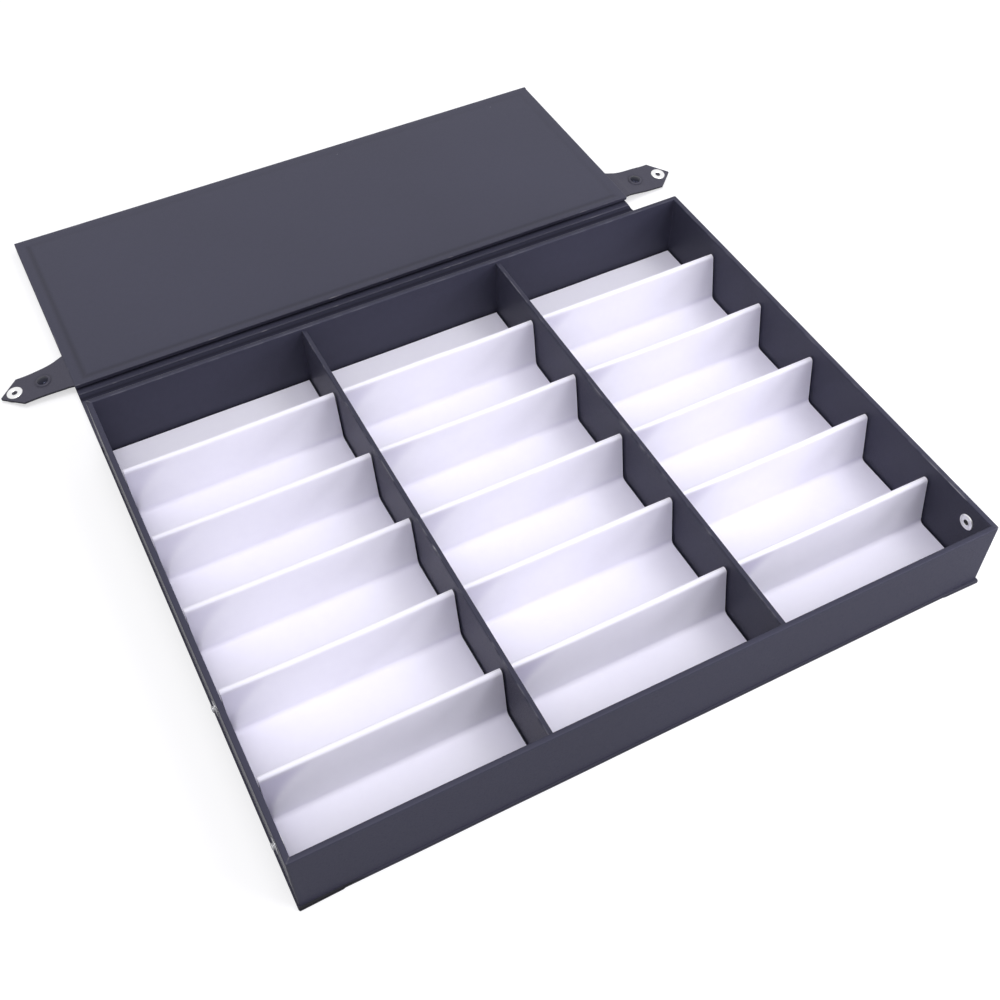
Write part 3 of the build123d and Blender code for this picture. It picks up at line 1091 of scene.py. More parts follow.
    def _shade_walls(self, shell: Shell, insets: np.ndarray, heights: np.ndarray, wall: float) -> None:
        """Wear the rim where hands touch it and paint a highlight along the rear rim. Paint shade at the feet
        inside, along the rear rim's outer edge and along the front rim's inner edge.

        Args:
            shell: the ring's surface.
            insets: how far in from the outer face each point was drawn.
            heights: the height at which it was drawn.
            wall: the wall's whole thickness.
        """
        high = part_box("tray_wrap")[1]
        floor_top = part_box("tray_floor")[1].z
        ease = self.rim_ease
        x, y = shell.points[:, 0], shell.points[:, 1]
        rim = np.clip((heights - high.z + ease) / ease, 0, 1)
        to_arris = np.minimum(np.abs(insets - 0.3 * ease), np.abs(insets - wall + 0.3 * ease))
        on_right = (x > high.x - wall) * (0.35 + 1.3 * smooth_step((-y - 0.3 * high.y) / (0.7 * high.y)))
        # The rear rim's light line is a painted highlight; the right rim and the corner mitres are worn.
        rear_rim_highlight = (y > high.y - wall) * 0.3
        wear_and_highlight = bump(to_arris, 0.9 * ease) * np.maximum(on_right, rear_rim_highlight)
        mitre = bump((high.x - np.abs(x)) - (high.y - np.abs(y)), self.mitre_width)
        near_corner = bump(np.minimum(high.x - np.abs(x), high.y - np.abs(y)), 2 * wall)
        shell.masks[Mask.EDGE] = rim * np.maximum(wear_and_highlight, mitre * near_corner)
        # Painted shade at the inner feet, along the rear rim's outer edge and along the front rim's inner edge.
        foot = bump(heights - floor_top, self.foot_shade) * (insets > wall / 2)
        behind = (y > high.y - wall) * bump(insets, 0.7 * wall)
        before = (y < wall - high.y) * bump(insets - wall, 0.35 * wall)
        shell.masks[Mask.CREASE] = np.maximum(foot, rim * np.maximum(behind, before))

    def _ring(self, half_x: float, half_y: float, radius: float) -> tuple[np.ndarray, np.ndarray]:
        """A rectangle with rounded corners, as evenly numbered points.

        Args:
            half_x: half its length.
            half_y: half its depth.
            radius: its corners' radius.

        Returns:
            The points and the outward direction at each.
        """
        spots, ways = [], []
        corners = ((1, 1), (-1, 1), (-1, -1), (1, -1))
        for k, (sx, sy) in enumerate(corners):
            centre = np.array([sx * (half_x - radius), sy * (half_y - radius)])
            for i in range(self.corner_steps + 1):
                angle = math.pi / 2 * (k + i / self.corner_steps)
                way = np.array([math.cos(angle), math.sin(angle)])
                spots.append(centre + radius * way)
                ways.append(way)
            next_x, next_y = corners[(k + 1) % 4]
            end = np.array([next_x * (half_x - radius), next_y * (half_y - radius)]) + radius * ways[-1]
            start = spots[-1]
            for i in range(1, self.side_steps):
                share = 0.5 - 0.5 * math.cos(math.pi * i / self.side_steps)
                spots.append(start + (end - start) * share)
                ways.append(ways[-1])
        return np.array(spots), np.array(ways)

    def divider(self, side: Side) -> None:
        """One divider's cover, a skin folded over its board with a seam line along the top.

        Args:
            side: which divider.
        """
        node = f"{side.word}_divider"
        low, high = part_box(f"{node}_cover")
        board_low, board_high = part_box(f"{node}_board")
        seam, half = (low.x + high.x) / 2 - self.seam_place, self.seam_half
        levels = [low.z + (high.z - low.z) * share for share in self.divider_rows]
        outline = [(low.x, low.z), *((low.x, z) for z in levels), (low.x, high.z)]
        outline += [(seam - half, high.z), (seam, high.z - self.seam_depth), (seam + half, high.z)]
        outline += [(high.x, high.z), *((high.x, z) for z in levels[::-1]), (high.x, low.z)]
        outer = eased(outline, self.divider_ease, 3)
        inner = [(min(max(x, board_low.x), board_high.x), min(z, board_high.z)) for x, z in outer]
        shell = extrude(outer, inner, np.linspace(low.y, high.y, 70), "xzy")
        x, y, z = shell.points.T
        height = (z - low.z) / (high.z - low.z)
        lean = ripple(y, y * 0, 260 * MM, self.divider_wave, 20 + side.value)
        rise = ripple(y, y * 0, 150 * MM, self.divider_top_wave, 31 + side.value)
        shell.points[:, 0] += lean * height
        shell.points[:, 2] += rise * (height > 0.8)
        top = height > 0.97
        worn = top * bump(x - low.x - 0.3 * MM, 0.6 * MM)
        scuffed = self.scuff_y if side is Side.LEFT else ()
        scuffs = sum(bump(y - place, self.scuff_reach) for place in scuffed)
        shell.masks[Mask.EDGE] = worn * (0.6 + 2.5 * scuffs)
        # Painted shade along the top, stronger at its right edge, and along the foot.
        lip = top * (0.35 + 0.5 * bump(x - high.x, 0.7 * MM))
        shell.masks[Mask.CREASE] = lip + bump(z - low.z, self.foot_shade)
        dress_piece(shell, f"{node}_skin", [TRAY_LEATHERETTE], "tray", [f"{node}_cover"])


@dataclass
class CardInsert:
    """A folded card insert with five hollow ridges."""

    name: str
    seed: int
    foot_ease: float = 3.5 * MM
    top_wave: float = 0.9 * MM
    height_wave: float = 0.35 * MM
    floor_wave: float = 0.25 * MM
    ridge_count: int = 5
    ridge_pitch: float = 64.8 * MM
    ridge_shift: float = -1.2 * MM
    half_foot: float = 8.3 * MM
    top_radius: float = 2.4 * MM
    thickness: float = 1.2 * MM
    tuck_length: float = 40 * MM
    tuck_depth: float = 2.2 * MM
    end_shade: float = 36 * MM

    @property
    def ridge_places(self) -> np.ndarray:
        """The middle of each ridge, from the front."""
        steps = np.arange(self.ridge_count) - (self.ridge_count - 1) / 2
        return self.ridge_shift + self.ridge_pitch * steps

    def build(self) -> None:
        """Build the insert."""
        low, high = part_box(self.name)
        floor = low.z + self.thickness
        outer = self._outline(low, high, floor)
        inner = [(y, max(z, low.z)) for y, z in offset(outer, self.thickness)]
        fine = np.linspace(low.x, low.x + 1.3 * self.tuck_length, 30)
        stations = np.concatenate([fine, np.linspace(fine[-1], high.x, 30)[1:]])
        shell = extrude(outer, inner, stations, "yzx")
        x, y, z = shell.points.T.copy()
        share = np.clip((z - floor) / (high.z - floor), 0, 1)
        places = self.ridge_places
        nearest = np.abs(y[:, None] - places[None, :]).argmin(axis=1)
        for ridge, place in enumerate(places):
            own = nearest == ridge
            self._wave_ridge(shell, own, share[own], ridge)
            shell.points[own, 1] += self._tuck(x[own] - low.x, y[own] - place, share[own])
        lift = (1 + ripple(x, y, 90 * MM, 1.0, self.seed + 7)) * self.floor_wave
        shell.points[:, 2] += lift * (1 - smooth_step(share * 12))
        # Painted shade: along each ridge's foot, more towards the ends; on the front faces, more near the ends and
        # towards the top, and a little more on the foremost ridge; and in a wedge inside the tuck at the left end.
        foot = bump(share - 0.03, 0.16)
        right = smooth_step((x - high.x + self.end_shade) / self.end_shade)
        left = smooth_step((low.x + self.end_shade - x) / self.end_shade)
        ends = 0.35 + 0.9 * right + 0.4 * left
        front, foremost = y < places[nearest], nearest == 0
        below = smooth_step((0.99 - share) * 9)
        face = front * smooth_step(share * 4) * (0.25 * right**2 + 0.12 * left**2 + 0.16 * share**2 * below)
        face += 0.04 * front * foremost * below
        in_tuck = smooth_step(1.6 * self._inside(x - low.x, share))
        wedge = front * in_tuck * below * (0.45 + 0.3 * foremost)
        shell.masks[Mask.CREASE] = 0.4 * foot * ends + np.maximum(face, wedge)
        dress_piece(shell, f"{self.name}_card", [INSERT_CARD], "tray", [self.name])

    def _wave_ridge(self, shell: Shell, own: np.ndarray, share: np.ndarray, ridge: int) -> None:
        """Give one ridge its own slight lean, belly and change of height.

        Args:
            shell: the card's surface.
            own: which points belong to the ridge.
            share: how high up the ridge those points lie, 0 to 1.
            ridge: the ridge's number, from the front.
        """
        x, z = shell.points[own, 0], shell.points[own, 2]
        seed = self.seed + ridge
        lean = ripple(x, x * 0, 190 * MM, self.top_wave, seed)
        belly = ripple(x, z, 70 * MM, self.top_wave * 0.5, seed + 40)
        rise = ripple(x, x * 0, 130 * MM, self.height_wave, seed + 80)
        shell.points[own, 1] += lean * share + belly * np.sin(np.pi * share)
        shell.points[own, 2] += rise * share

    def _tuck(self, from_end: np.ndarray, from_ridge: np.ndarray, share: np.ndarray) -> np.ndarray:
        """How far a ridge's front face is tucked back at its left end, along a curved fold.

        Args:
            from_end: distance from the insert's left end.
            from_ridge: distance behind the middle of the ridge.
            share: height up the ridge, 0 to 1.

        Returns:
            The shift along Y at each point.
        """
        inside = self._inside(from_end, share)
        return self.tuck_depth * (from_ridge < 0) * inside * np.sin(np.pi * np.clip(share, 0, 1)) ** 0.7

    def _inside(self, from_end: np.ndarray, share: np.ndarray) -> np.ndarray:
        """How far inside the curved fold each point lies, from 0 at the fold to 1 at the card's end."""
        fold = self.tuck_length * (np.clip(share, 0, 0.9) / 0.9) ** 2
        return np.clip(1 - from_end / np.maximum(fold, 0.5 * MM), 0, 1)

    def _outline(self, low: Vector, high: Vector, floor: float) -> list[tuple[float, float]]:
        """The card's upper line, from the front wall to the rear one.

        Args:
            low: the insert's lowest corner.
            high: its highest corner.
            floor: height of the card's upper face between the ridges.

        Returns:
            The line as (y, z) points.
        """
        centre = high.z - self.top_radius
        rise = centre - floor
        slant = math.hypot(self.half_foot, rise)
        lean = math.atan2(self.half_foot, rise) - math.asin(self.top_radius / slant)
        run = self.foot_ease / math.tan((math.pi / 2 + lean) / 2)
        turn = math.pi / 2 - lean
        half: list[tuple[float, float]] = []
        for i in range(7):
            angle = turn * i / 6
            away = self.half_foot + run - self.foot_ease * math.sin(angle)
            half.append((away, floor + self.foot_ease * (1 - math.cos(angle))))
        start = half[-1]
        shoulder = (self.top_radius * math.cos(lean), centre + self.top_radius * math.sin(lean))
        for share in (0.1, 0.2, 0.3, 0.4, 0.5, 0.6, 0.7, 0.8, 0.9, 0.96):
            half.append(tuple(a + (b - a) * share for a, b in zip(start, shoulder)))
        for i in range(6):
            angle = lean + turn * i / 5
            half.append((self.top_radius * math.cos(angle), centre + self.top_radius * math.sin(angle)))
        line = [(low.y, floor)]
        for place in self.ridge_places:
            gap = place - half[0][0] - line[-1][0]
            line += [(line[-1][0] + gap * share, floor) for share in (0.2, 0.4, 0.6, 0.8)]
            line += [(place - away, z) for away, z in half]
            line += [(place + away, z) for away, z in half[-2::-1]]
        line += [(line[-1][0] + (high.y - line[-1][0]) * share, floor) for share in (0.25, 0.5, 0.75, 1)]
        return line


@dataclass
class LidPanel:
    """One panel of the cover: leatherette round a board, lined inside."""

    name: str
    body: str
    outer_up: bool
    border_x: float = 9.5 * MM
    border_y: float = 6.6 * MM
    press_depth: float = 0.16 * MM
    press_reach: float = 3.6 * MM
    faint: float = 0.25
    edge: float = 0.8 * MM
    wave: float = 0.14 * MM
    wave_from: float = 30 * MM
    press_shade: float = 0.75
    cell: float = 16 * MM
    lining_cell: float = 18 * MM
    lining_edge: float = 0.45
    hinged: tuple[str, ...] = ("near", "far")

    def build(self) -> None:
        """Build the cover and the lining."""
        self.cover()
        self.lining()

    def cover(self) -> None:
        """The leatherette, with a pressed line a little inside its edges and painted shade in it."""
        low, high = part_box(f"{self.name}_cover")
        offsets = [k * self.press_reach / 3 for k in range(-3, 4)]
        border_y = min(self.border_y, (high.y - low.y) / 4)
        lines_x = [s * (high.x - self.border_x) + o for s in (-1, 1) for o in offsets]
        lines_y = [e + s * border_y + o for e, s in ((low.y, 1), (high.y, -1)) for o in offsets]
        flat = [place for word, place in (("near", low.y), ("far", high.y)) if word in self.hinged]
        side = 1 if self.outer_up else -1
        shell = Slab(low, high, self.edge, self.cell, lines_x, lines_y, flat, side).shell()
        x, y, z = shell.points.T
        face_z = high.z if self.outer_up else low.z
        on_face = np.abs(z - face_z) < 1e-3 * MM
        from_x = high.x - self.border_x - np.abs(x)
        from_y = np.minimum(y - low.y, high.y - y) - border_y
        press = bump(np.minimum(from_x, from_y), self.press_reach) * on_face
        right_or_far = np.where(from_x < from_y, x > 0, y > (low.y + high.y) / 2)
        press *= np.where(right_or_far, self.faint, 1.0)
        inside = smooth_step(np.minimum(from_x, from_y) / self.wave_from) * on_face
        shell.points[:, 2] -= side * self.press_depth * press
        shell.points[:, 2] -= side * np.abs(ripple(x, y, 240 * MM, self.wave, 12)) * inside
        # Painted shade in the pressed line.
        shell.masks[Mask.CREASE] = self.press_shade * press
        whole = shell.with_cavity(box_shell(*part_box(f"{self.name}_board")))
        dress_piece(whole, f"{self.name}_skin", [OUTER_LEATHERETTE], self.body, [f"{self.name}_cover"])

    def lining(self) -> None:
        """The lining, a thin pad with softened edges."""
        low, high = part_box(f"{self.name}_lining")
        cover_low, cover_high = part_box(f"{self.name}_cover")
        if self.outer_up:
            high = Vector((high.x, high.y, cover_low.z))
        else:
            low = Vector((low.x, low.y, cover_high.z))
        shell = Slab(low, high, (high.z - low.z) * self.lining_edge, self.lining_cell).shell()
        dress_piece(shell, f"{self.name}_pad", [LINING_SUEDE], self.body, [f"{self.name}_lining"])


@dataclass
class HingeSkin:
    """The leatherette between two panels, lined inside."""

    steps: int = 20
    pad_top: float = 2.9 * MM
    pad_dip: float = 0.8 * MM
    fold_rows: int = 12
    fold_corner: float = 0.9 * MM
    fold_wave: float = 0.12 * MM
    fold_swell: float = 1.1 * MM
    fold_reach: float = 3.0 * MM

    def build(self) -> None:
        """Build the two flat strips and the one round the lid's far fold."""
        self.flat("tray_hinge_strip", "tray", "spine")
        self.flat("spine_hinge_strip", "spine", "lid_rear")
        self.fold()

    def flat(self, node: str, near_body: str, far_body: str) -> None:
        """Build a flat strip from the outer faces up to a lining that dips between the panels.

        Args:
            node: the solid that it stands for.
            near_body: the body at its near edge.
            far_body: the body at its far edge.
        """
        low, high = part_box(node)
        places = np.linspace(low.y, high.y, self.steps)
        tops = self.pad_top - self.pad_dip * np.sin(np.pi * np.linspace(0, 1, self.steps))
        bottom = [(y, low.z) for y in places]
        shell = extrude(bottom, list(zip(places, tops)), self._stations(low, high), "yzx")
        middle = (low.y + high.y) / 2
        # Painted shade along the middle of the strip, where the lining dips.
        shell.masks[Mask.CREASE] = bump(shell.points[:, 1] - middle, (high.y - low.y) / 3)
        start, end = Vector((0, low.y, 0)), Vector((0, high.y, 0))
        dress_piece(shell, f"{node}_skin", [HINGE_LINING], (near_body, far_body, start, end), [node])

    def fold(self) -> None:
        """The strip round the far edge, swelled so that it clears the rim when the lid is shut."""
        low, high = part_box("lid_fold_strip")
        strip_low, strip_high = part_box("tray_hinge_strip")
        thickness = strip_high.z - strip_low.z
        rows = [low.z + (high.z - low.z) * k / self.fold_rows for k in range(self.fold_rows + 1)]
        outline = [(low.y, low.z), *((high.y, z) for z in rows), (low.y, high.z)]
        outer = eased(outline, self.fold_corner, 4)
        inner = offset(outer, -thickness)
        shell = extrude(outer, inner, self._stations(low, high), "yzx")
        x, y, z = shell.points.T
        on_face = np.clip((y - low.y) / (high.y - low.y), 0, 1)
        shell.points[:, 1] += ripple(x, z, 160 * MM, self.fold_wave, 44) * on_face
        shell.points[:, 1] += bump(z - (low.z + high.z) / 2, self.fold_reach) * self.fold_swell
        corner = np.minimum(np.abs(z - low.z), np.abs(z - high.z))
        shell.masks[Mask.EDGE] = 0.5 * bump(corner - 0.3 * MM, 0.8 * MM) * on_face
        start, end = Vector((0, high.y, low.z)), Vector((0, high.y, high.z))
        bodies = ("lid_rear", "lid_front", start, end)
        dress_piece(shell, "lid_fold_skin", [OUTER_LEATHERETTE], bodies, ["lid_fold_strip"])

    @staticmethod
    def _stations(low: Vector, high: Vector) -> np.ndarray:
        """Places along the box's length."""
        return np.linspace(low.x, high.x, 60)


# Points across a strap, as shares of its half width, closer together at its edges
STRAP_SHARES = np.concatenate([[-1, -0.985, -0.95], np.linspace(-0.88, 0.88, 23), [0.95, 0.985, 1]])


@dataclass
class SnapStrap:
    """A leather strap that bends at the lid's edge, with its cap and its ring."""

    side: Side
    droop: float = math.radians(5.9)
    half_root: float = 18.8 * MM
    half_near_root: float = 18.0 * MM
    near_hollow: float = 0.5 * MM
    half_waist: float = 14.0 * MM
    half_shoulder: float = 14.8 * MM
    root_reach: float = -3.1 * MM
    waist_reach: float = 24.0 * MM
    shoulder_reach: float = 36.8 * MM
    tip_reach: float = 51.6 * MM
    tip_half: float = 0.7 * MM
    bend_length: float = 4.0 * MM
    cap_reach: float = 18.0 * MM
    ring_reach: float = 41.0 * MM
    cap_radius: float = 5.9 * MM
    dome_radius: float = 4.3 * MM
    cap_height: float = 2.0 * MM
    dimple: float = 0.3 * MM
    left_roll: float = math.radians(-2.5)
    right_roll: float = math.radians(7.5)
    roll_reach: float = 26 * MM
    ring_radius: float = 6.2 * MM
    edge_round: float = 0.35 * MM
    root_slope: float = -0.62
    waist_slope: float = -0.02
    shoulder_slope: float = 0.12
    press_reach: float = 2.4 * MM
    press_shade: float = 0.55

    def build(self) -> None:
        """Build the strap and its fasteners."""
        self.leather()
        self.cap()
        self.ring()

    @property
    def joint(self) -> dict:
        """The strap's hinge in the record."""
        return next(j for j in frame["joints"] if j["name"] == f"{self.side.word}_strap_hinge")

    @property
    def axis(self) -> Vector:
        """The middle of the hinge line."""
        return Vector(self.joint["pos_m"])

    @property
    def thickness(self) -> float:
        """The leather's thickness, as the root solid has it."""
        low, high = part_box(f"{self.side.word}_strap_root")
        return high.z - low.z

    def seat(self, reach: float) -> Matrix:
        """The frame of a fastener on the strap's outer face.

        Args:
            reach: its distance from the hinge line.

        Returns:
            The seat, with its third axis away from the leather.
        """
        out = self.side.value
        roll = self.roll(reach)
        flat = Vector((out * math.sin(self.droop), 0, math.cos(self.droop)))
        along = Vector((out * math.cos(self.droop), 0, -math.sin(self.droop)))
        normal = flat * math.cos(roll) - Vector((0, 1, 0)) * math.sin(roll)
        origin = self.axis + along * reach + normal * self.thickness / 2
        return placed(origin, along, normal.cross(along), normal)

    def roll(self, reach: float) -> float:
        """How far the strap has curled about its own length at a distance from the hinge line."""
        full = self.left_roll if self.side is Side.LEFT else self.right_roll
        return full * float(smooth_step(np.array(reach / self.roll_reach)))

    def half_width(self, reach: float, towards_tray: bool) -> float:
        """The strap's width on one side of its middle line; the side towards the tray is nearly straight.

        Args:
            reach: distance from the hinge line.
            towards_tray: whether it is the side towards the tray.

        Returns:
            The distance from the middle line to the edge.
        """
        root, waist, shoulder = self.root_reach, self.waist_reach, self.shoulder_reach
        if reach <= root:
            return self.half_near_root if towards_tray else self.half_root
        if reach >= shoulder:
            share = (reach - shoulder) / (self.tip_reach - shoulder)
            return self.half_shoulder + (self.tip_half - self.half_shoulder) * share
        if towards_tray:
            t = (reach - root) / (shoulder - root)
            straight = self.half_near_root + (self.half_shoulder - self.half_near_root) * t
            return straight - 4 * self.near_hollow * t * (1 - t)
        if reach <= waist:
            span = waist - root
            slopes = (self.root_slope * span, self.waist_slope * span)
            return hermite((reach - root) / span, (self.half_root, self.half_waist), slopes)
        span = shoulder - waist
        slopes = (self.waist_slope * span, self.shoulder_slope * span)
        return hermite((reach - waist) / span, (self.half_waist, self.half_shoulder), slopes)

    def leather(self) -> None:
        """The strap from inside the lid to its point, one piece that bends at the hinge line."""
        word = self.side.word
        root_low, root_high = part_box(f"{word}_strap_root")
        start = min(abs(root_low.x), abs(root_high.x)) - abs(self.axis.x)
        reaches = np.concatenate([
            [start],
            np.linspace(self.root_reach, self.bend_length, 16),
            np.linspace(5 * MM, self.shoulder_reach, 40),
            np.linspace(self.shoulder_reach + 0.4 * MM, self.tip_reach, 14),
        ])
        sections = np.array([self._section(reach) for reach in reaches])
        size = sections.shape[1]
        faces = grid_faces(len(reaches), size, False, True)
        last = (len(reaches) - 1) * size
        faces.append(tuple(range(size)))
        faces.append(tuple(last + k for k in reversed(range(size))))
        table = sections.reshape(-1, sections.shape[2])
        shell = Shell(table[:, :3], faces, {Mask.EDGE: table[:, 3], Mask.CREASE: table[:, 4]}).facing_out()
        begin = self.axis
        end = begin + Vector((self.side.value * self.bend_length, 0, 0))
        nodes = [f"{word}_strap", f"{word}_strap_fold", f"{word}_strap_root"]
        bodies = ("lid_front", f"{word}_strap", begin, end)
        dress_piece(shell, f"{word}_strap_leather", [STRAP_LEATHER], bodies, nodes)

    def _section(self, reach: float) -> list[tuple[float, ...]]:
        """The strap's outline across, at one distance from the hinge line.

        Args:
            reach: the distance.

        Returns:
            A row of x, y, z, edge mask and painted shade mask for each point round the section.
        """
        out, axis, half = self.side.value, self.axis, self.thickness / 2
        widths = {near: self.half_width(reach, near) for near in (True, False)}
        turn = self.droop * float(smooth_step(np.array(reach / self.bend_length)))
        roll = self.roll(reach)
        rows = []
        for face in (1, -1):
            for share in STRAP_SHARES[::face]:
                width = widths[bool(share < 0)]
                t = share * width
                near_edge = max(0.0, 1 - (width - abs(t)) / self.edge_round)
                drop = self.edge_round * (1 - math.sqrt(max(0.0, 1 - near_edge**2)))
                snap = math.hypot(reach - self.cap_reach, t)
                pressed = float(bump(np.array(snap - self.cap_radius), self.press_reach)) * (face > 0)
                n = face * (half - drop) - self.dimple * pressed
                y = t * math.cos(roll) - n * math.sin(roll)
                n = n * math.cos(roll) + t * math.sin(roll)
                x = reach * math.cos(turn) + n * math.sin(turn)
                z = -reach * math.sin(turn) + n * math.cos(turn)
                # Painted shade in the pressed ring round the cap.
                edge, crease = float(near_edge > 0), self.press_shade * pressed
                rows.append((axis.x + out * x, axis.y + y, axis.z + z, edge, crease))
        return rows

    def cap(self) -> None:
        """The dark cap over the socket: a low flange with a dome in its middle."""
        radius, dome, sunk = self.cap_radius, self.dome_radius, self.dimple
        brim, sweep = 0.72 * MM, 9
        outline = [
            (0.0, -0.6 * MM), (radius - 0.5 * MM, -0.6 * MM), (radius, -sunk), (radius, 0.1 * MM),
            (radius - 0.5 * MM, 0.45 * MM), (dome + 0.5 * MM, 0.62 * MM), (dome, brim),
        ]
        for i in range(1, sweep):
            angle = math.pi / 2 * i / sweep
            outline.append((dome * math.cos(angle), brim + (self.cap_height - brim) * math.sin(angle)))
        outline.append((0.0, self.cap_height))
        shell = lathe(self.seat(self.cap_reach), outline, (dome + 0.1 * MM, radius + 1 * MM))
        name = f"{self.side.word}_root_cap"
        dress_piece(shell, f"{name}_dome", [DARK_SNAP, STRAP_LEATHER], f"{self.side.word}_strap", [name])

    def ring(self) -> None:
        """The bright ring, with a post in its sunk centre; the sunk centre and the post take painted shade."""
        radius = self.ring_radius
        lip = [
            (0.0, -0.5 * MM), (radius - 0.4 * MM, -0.5 * MM), (radius, 0.0), (radius, 0.45 * MM),
            (radius - 0.5 * MM, 0.95 * MM), (radius - 1.6 * MM, 1.0 * MM), (radius - 2.6 * MM, 0.85 * MM),
            (2.5 * MM, 0.6 * MM), (2.05 * MM, 0.2 * MM), (1.9 * MM, -0.35 * MM), (0.95 * MM, -0.35 * MM),
            (0.8 * MM, 0.2 * MM), (0.0, 0.3 * MM),
        ]
        shell = lathe(self.seat(self.ring_reach), eased(lip, 0.3 * MM, 3), (0.01 * MM, 2.15 * MM))
        name = f"{self.side.word}_tip_ring"
        dress_piece(shell, f"{name}_rim", [BRIGHT_SNAP, BORE_SHADE], f"{self.side.word}_strap", [name])


@dataclass
class WallSnap:
    """A snap stud on the tray's end, and the rivet ring inside that holds it."""

    place: str
    side: Side
    flange_radius: float = 5.2 * MM
    neck_radius: float = 1.9 * MM
    bulb_radius: float = 2.35 * MM

    def build(self) -> None:
        """Build the stud, and the ring where it shows."""
        self.stud()
        if self.place == "front":
            self.ring()

    def _seat(self, x: float, facing: int, node: str) -> Matrix:
        """A frame on a wall's face, at the height and depth of a node.

        Args:
            x: the face's place.
            facing: which way the seat looks along X.
            node: the solid whose middle it takes.

        Returns:
            The seat.
        """
        low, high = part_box(node)
        origin = Vector((x, (low.y + high.y) / 2, (low.z + high.z) / 2))
        return placed(origin, Vector((0, facing, 0)), Vector((0, 0, 1)), Vector((facing, 0, 0)))

    def stud(self) -> None:
        """The stud: a flange with a rolled edge, a neck and a round-topped bulb."""
        node = f"{self.place}_{self.side.word}_stud"
        low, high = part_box(node)
        out = self.side.value
        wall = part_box("tray_wrap")[1].x
        height = max(abs(low.x), abs(high.x)) - wall
        flange, neck, bulb = self.flange_radius, self.neck_radius, self.bulb_radius
        outline = [
            (0.0, -0.3 * MM), (flange - 0.3 * MM, -0.3 * MM), (flange, 0.0), (flange, 0.45 * MM),
            (flange - 0.6 * MM, 0.7 * MM), (neck + 0.9 * MM, 0.5 * MM), (neck, 0.8 * MM),
            (neck, height - 1.15 * MM), (bulb, height - 0.85 * MM), (bulb, height - 0.45 * MM),
            (bulb - 0.7 * MM, height), (0.0, height),
        ]
        shell = lathe(self._seat(out * wall, out, node), eased(outline, 0.25 * MM, 3))
        dress_piece(shell, f"{node}_metal", [STUD_METAL], "tray", [node])

    def ring(self) -> None:
        """The rivet ring: a stepped disc whose bore takes painted shade."""
        node = f"{self.place}_{self.side.word}_rivet_ring"
        low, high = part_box(node)
        out = self.side.value
        radius, thick = (high.y - low.y) / 2, high.x - low.x
        face = max(abs(low.x), abs(high.x))
        outline = [
            (0.0, -0.2 * MM), (radius - 0.2 * MM, -0.2 * MM), (radius, 0.0), (radius, 0.3 * MM),
            (radius - 0.5 * MM, thick), (radius - 1.5 * MM, thick), (radius - 1.9 * MM, 0.55 * MM),
            (2.9 * MM, 0.55 * MM), (2.6 * MM, thick), (2.1 * MM, thick), (1.8 * MM, 0.1 * MM),
            (0.75 * MM, 0.1 * MM), (0.6 * MM, 0.45 * MM), (0.0, 0.45 * MM),
        ]
        shell = lathe(self._seat(out * face, -out, node), eased(outline, 0.2 * MM, 3), (0.01 * MM, 2.0 * MM))
        dress_piece(shell, f"{node}_metal", [BRIGHT_SNAP, BORE_SHADE], "tray", [node])


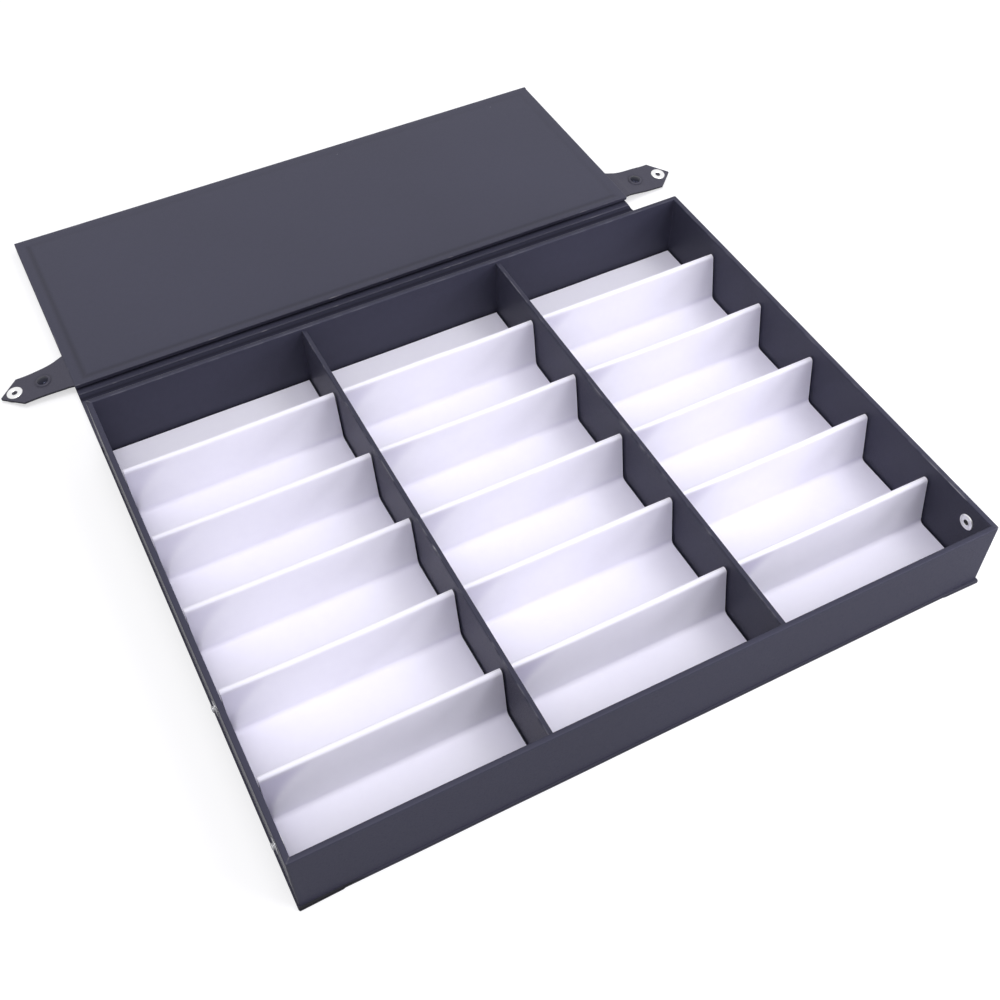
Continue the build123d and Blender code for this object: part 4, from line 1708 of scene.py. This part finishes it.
@dataclass
class Stage:
    """The floor, the lamps, the world and the camera."""

    floor_size: float = 8.0
    floor_drop: float = 0.15 * MM
    azimuth: float = -26.449
    elevation: float = 50.695
    roll: float = -1.144
    distance: float = 909.75 * MM
    target: Place = (-6.17 * MM, 19.58 * MM, 0.0)
    focal_share: float = 1.28283
    sensor: float = 36.0
    sky: float = 0.52
    sky_tint: Colour = (0.975, 0.96, 1.04)
    fill_tint: Colour = (0.97, 0.96, 1.05)
    floor_tone: float = 0.5
    floor_glow: float = 0.6
    lamps_face: Place = (0, 0.05, 0)

    def build(self) -> None:
        """Set the scene up."""
        self.floor()
        self.world()
        self.lamps()
        self.camera()

    def floor(self) -> None:
        """A white floor that shows the object's soft shadow and no more."""
        half = self.floor_size / 2
        mesh = bpy.data.meshes.new("floor")
        corners = [(x * half, y * half, -self.floor_drop) for x, y in ((-1, -1), (1, -1), (1, 1), (-1, 1))]
        mesh.from_pydata(corners, [], [(0, 1, 2, 3)])
        floor = add_object("floor", mesh)
        material = bpy.data.materials.new("white_floor")
        desk = NodeDesk(clear_tree(material))
        surface, glow, total = (desk.add(kind) for kind in ("BsdfDiffuse", "Emission", "AddShader"))
        seen = desk.add("LightPath").outputs["Is Camera Ray"]
        for value, socket in (
            ((self.floor_tone,) * 3, surface.inputs["Color"]),
            (WHITE, glow.inputs["Color"]),
            (desk.maths("MULTIPLY", seen, self.floor_glow), glow.inputs["Strength"]),
            (surface.outputs[0], total.inputs[0]),
            (glow.outputs[0], total.inputs[1]),
            (total.outputs[0], desk.add("OutputMaterial").inputs[0]),
        ):
            desk.feed(value, socket)
        mesh.materials.append(material)

    def world(self) -> None:
        """A white surround for the camera and for reflections, and a softer one for light."""
        world = bpy.data.worlds.new("white_room")
        bpy.context.scene.world = world
        desk = NodeDesk(clear_tree(world))
        path = desk.add("LightPath")
        seen = desk.maths("MAXIMUM", path.outputs["Is Camera Ray"], path.outputs["Is Glossy Ray"])
        seen = desk.maths("MAXIMUM", seen, path.outputs["Is Transmission Ray"])
        sky = desk.add("Background")
        desk.feed(desk.maths("MULTIPLY_ADD", seen, 1 - self.sky, self.sky), sky.inputs["Strength"])
        desk.feed(desk.mix(seen, self.sky_tint, WHITE), sky.inputs["Color"])
        desk.feed(sky.outputs[0], desk.add("OutputWorld").inputs[0])

    def lamps(self) -> None:
        """A broad key overhead, a fill from the front on the right and a low one beside it."""
        self._lamp("key", (-0.25, -0.35, 2.7), 1.3, 29)
        self._lamp("fill", (0.9, -1.0, 1.5), 0.8, 10, self.fill_tint)
        self._lamp("low_fill", (0.85, -0.7, 0.4), 0.35, 4, self.fill_tint)

    def _lamp(self, name: str, place: Place, size: float, power: float, tint: Colour = WHITE) -> None:
        """Hang a square lamp that looks at the tray.

        Args:
            name: the lamp's name.
            place: where it hangs.
            size: its width.
            power: its power in watts.
            tint: its colour.
        """
        light = bpy.data.lights.new(name, "AREA")
        light.color = tint
        light.size = size
        light.energy = power
        lamp = add_object(name, light)
        lamp.location = place
        lamp.rotation_euler = (Vector(self.lamps_face) - Vector(place)).to_track_quat("-Z", "Y").to_euler()

    def camera(self) -> None:
        """The photograph's view."""
        azimuth, elevation, roll = (math.radians(a) for a in (self.azimuth, self.elevation, self.roll))
        level = Vector((-math.sin(azimuth), math.cos(azimuth), 0))
        forward = level * math.cos(elevation) - Vector((0, 0, math.sin(elevation)))
        right = forward.cross(Vector((0, 0, 1))).normalized()
        up = right.cross(forward)
        turned_right = right * math.cos(roll) + up * math.sin(roll)
        turned_up = up * math.cos(roll) - right * math.sin(roll)
        lens = bpy.data.cameras.new("camera")
        lens.sensor_width = self.sensor
        lens.lens = self.focal_share * self.sensor
        camera = add_object("camera", lens)
        place = Vector(self.target) - forward * self.distance
        camera.matrix_world = placed(place, turned_right, turned_up, -forward)
        bpy.context.scene.camera = camera
        bpy.context.scene.view_settings.view_transform = "Standard"


def dress_solids() -> None:
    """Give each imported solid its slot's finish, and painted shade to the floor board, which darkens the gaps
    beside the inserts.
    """
    slots = {part["node"]: part["material_slot"] for part in frame["record"]["subparts"]}
    for node, solid in frame["nodes"].items():
        material = (FLOOR_GAP_SHADE if node == "tray_floor" else SLOT_FINISHES[slots[node]]).material()
        if not solid.material_slots:
            solid.data.materials.append(material)
        for slot in solid.material_slots:
            slot.material = material


def main() -> None:
    """Build the stage and every sub-assembly."""
    logging.basicConfig(level=logging.INFO, format="%(name)s: %(message)s")
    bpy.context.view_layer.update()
    Stage().build()
    dress_solids()
    Tray().build()
    for seed, word in enumerate(("left", "middle", "right")):
        CardInsert(f"{word}_insert", 100 + 200 * seed).build()
    LidPanel("spine", "spine", outer_up=False, wave=0.05 * MM).build()
    LidPanel("lid_rear", "lid_rear", outer_up=False).build()
    LidPanel("lid_front", "lid_front", outer_up=True, hinged=("far",)).build()
    HingeSkin().build()
    SnapStrap(
        Side.LEFT, shoulder_reach=35.4 * MM, tip_reach=50.2 * MM, cap_reach=17.0 * MM, ring_reach=39.5 * MM
    ).build()
    SnapStrap(Side.RIGHT, cap_reach=16.6 * MM, ring_reach=40.4 * MM).build()
    for side in Side:
        for place in ("front", "rear"):
            WallSnap(place, side).build()


if __name__ == "__main__":
    main()
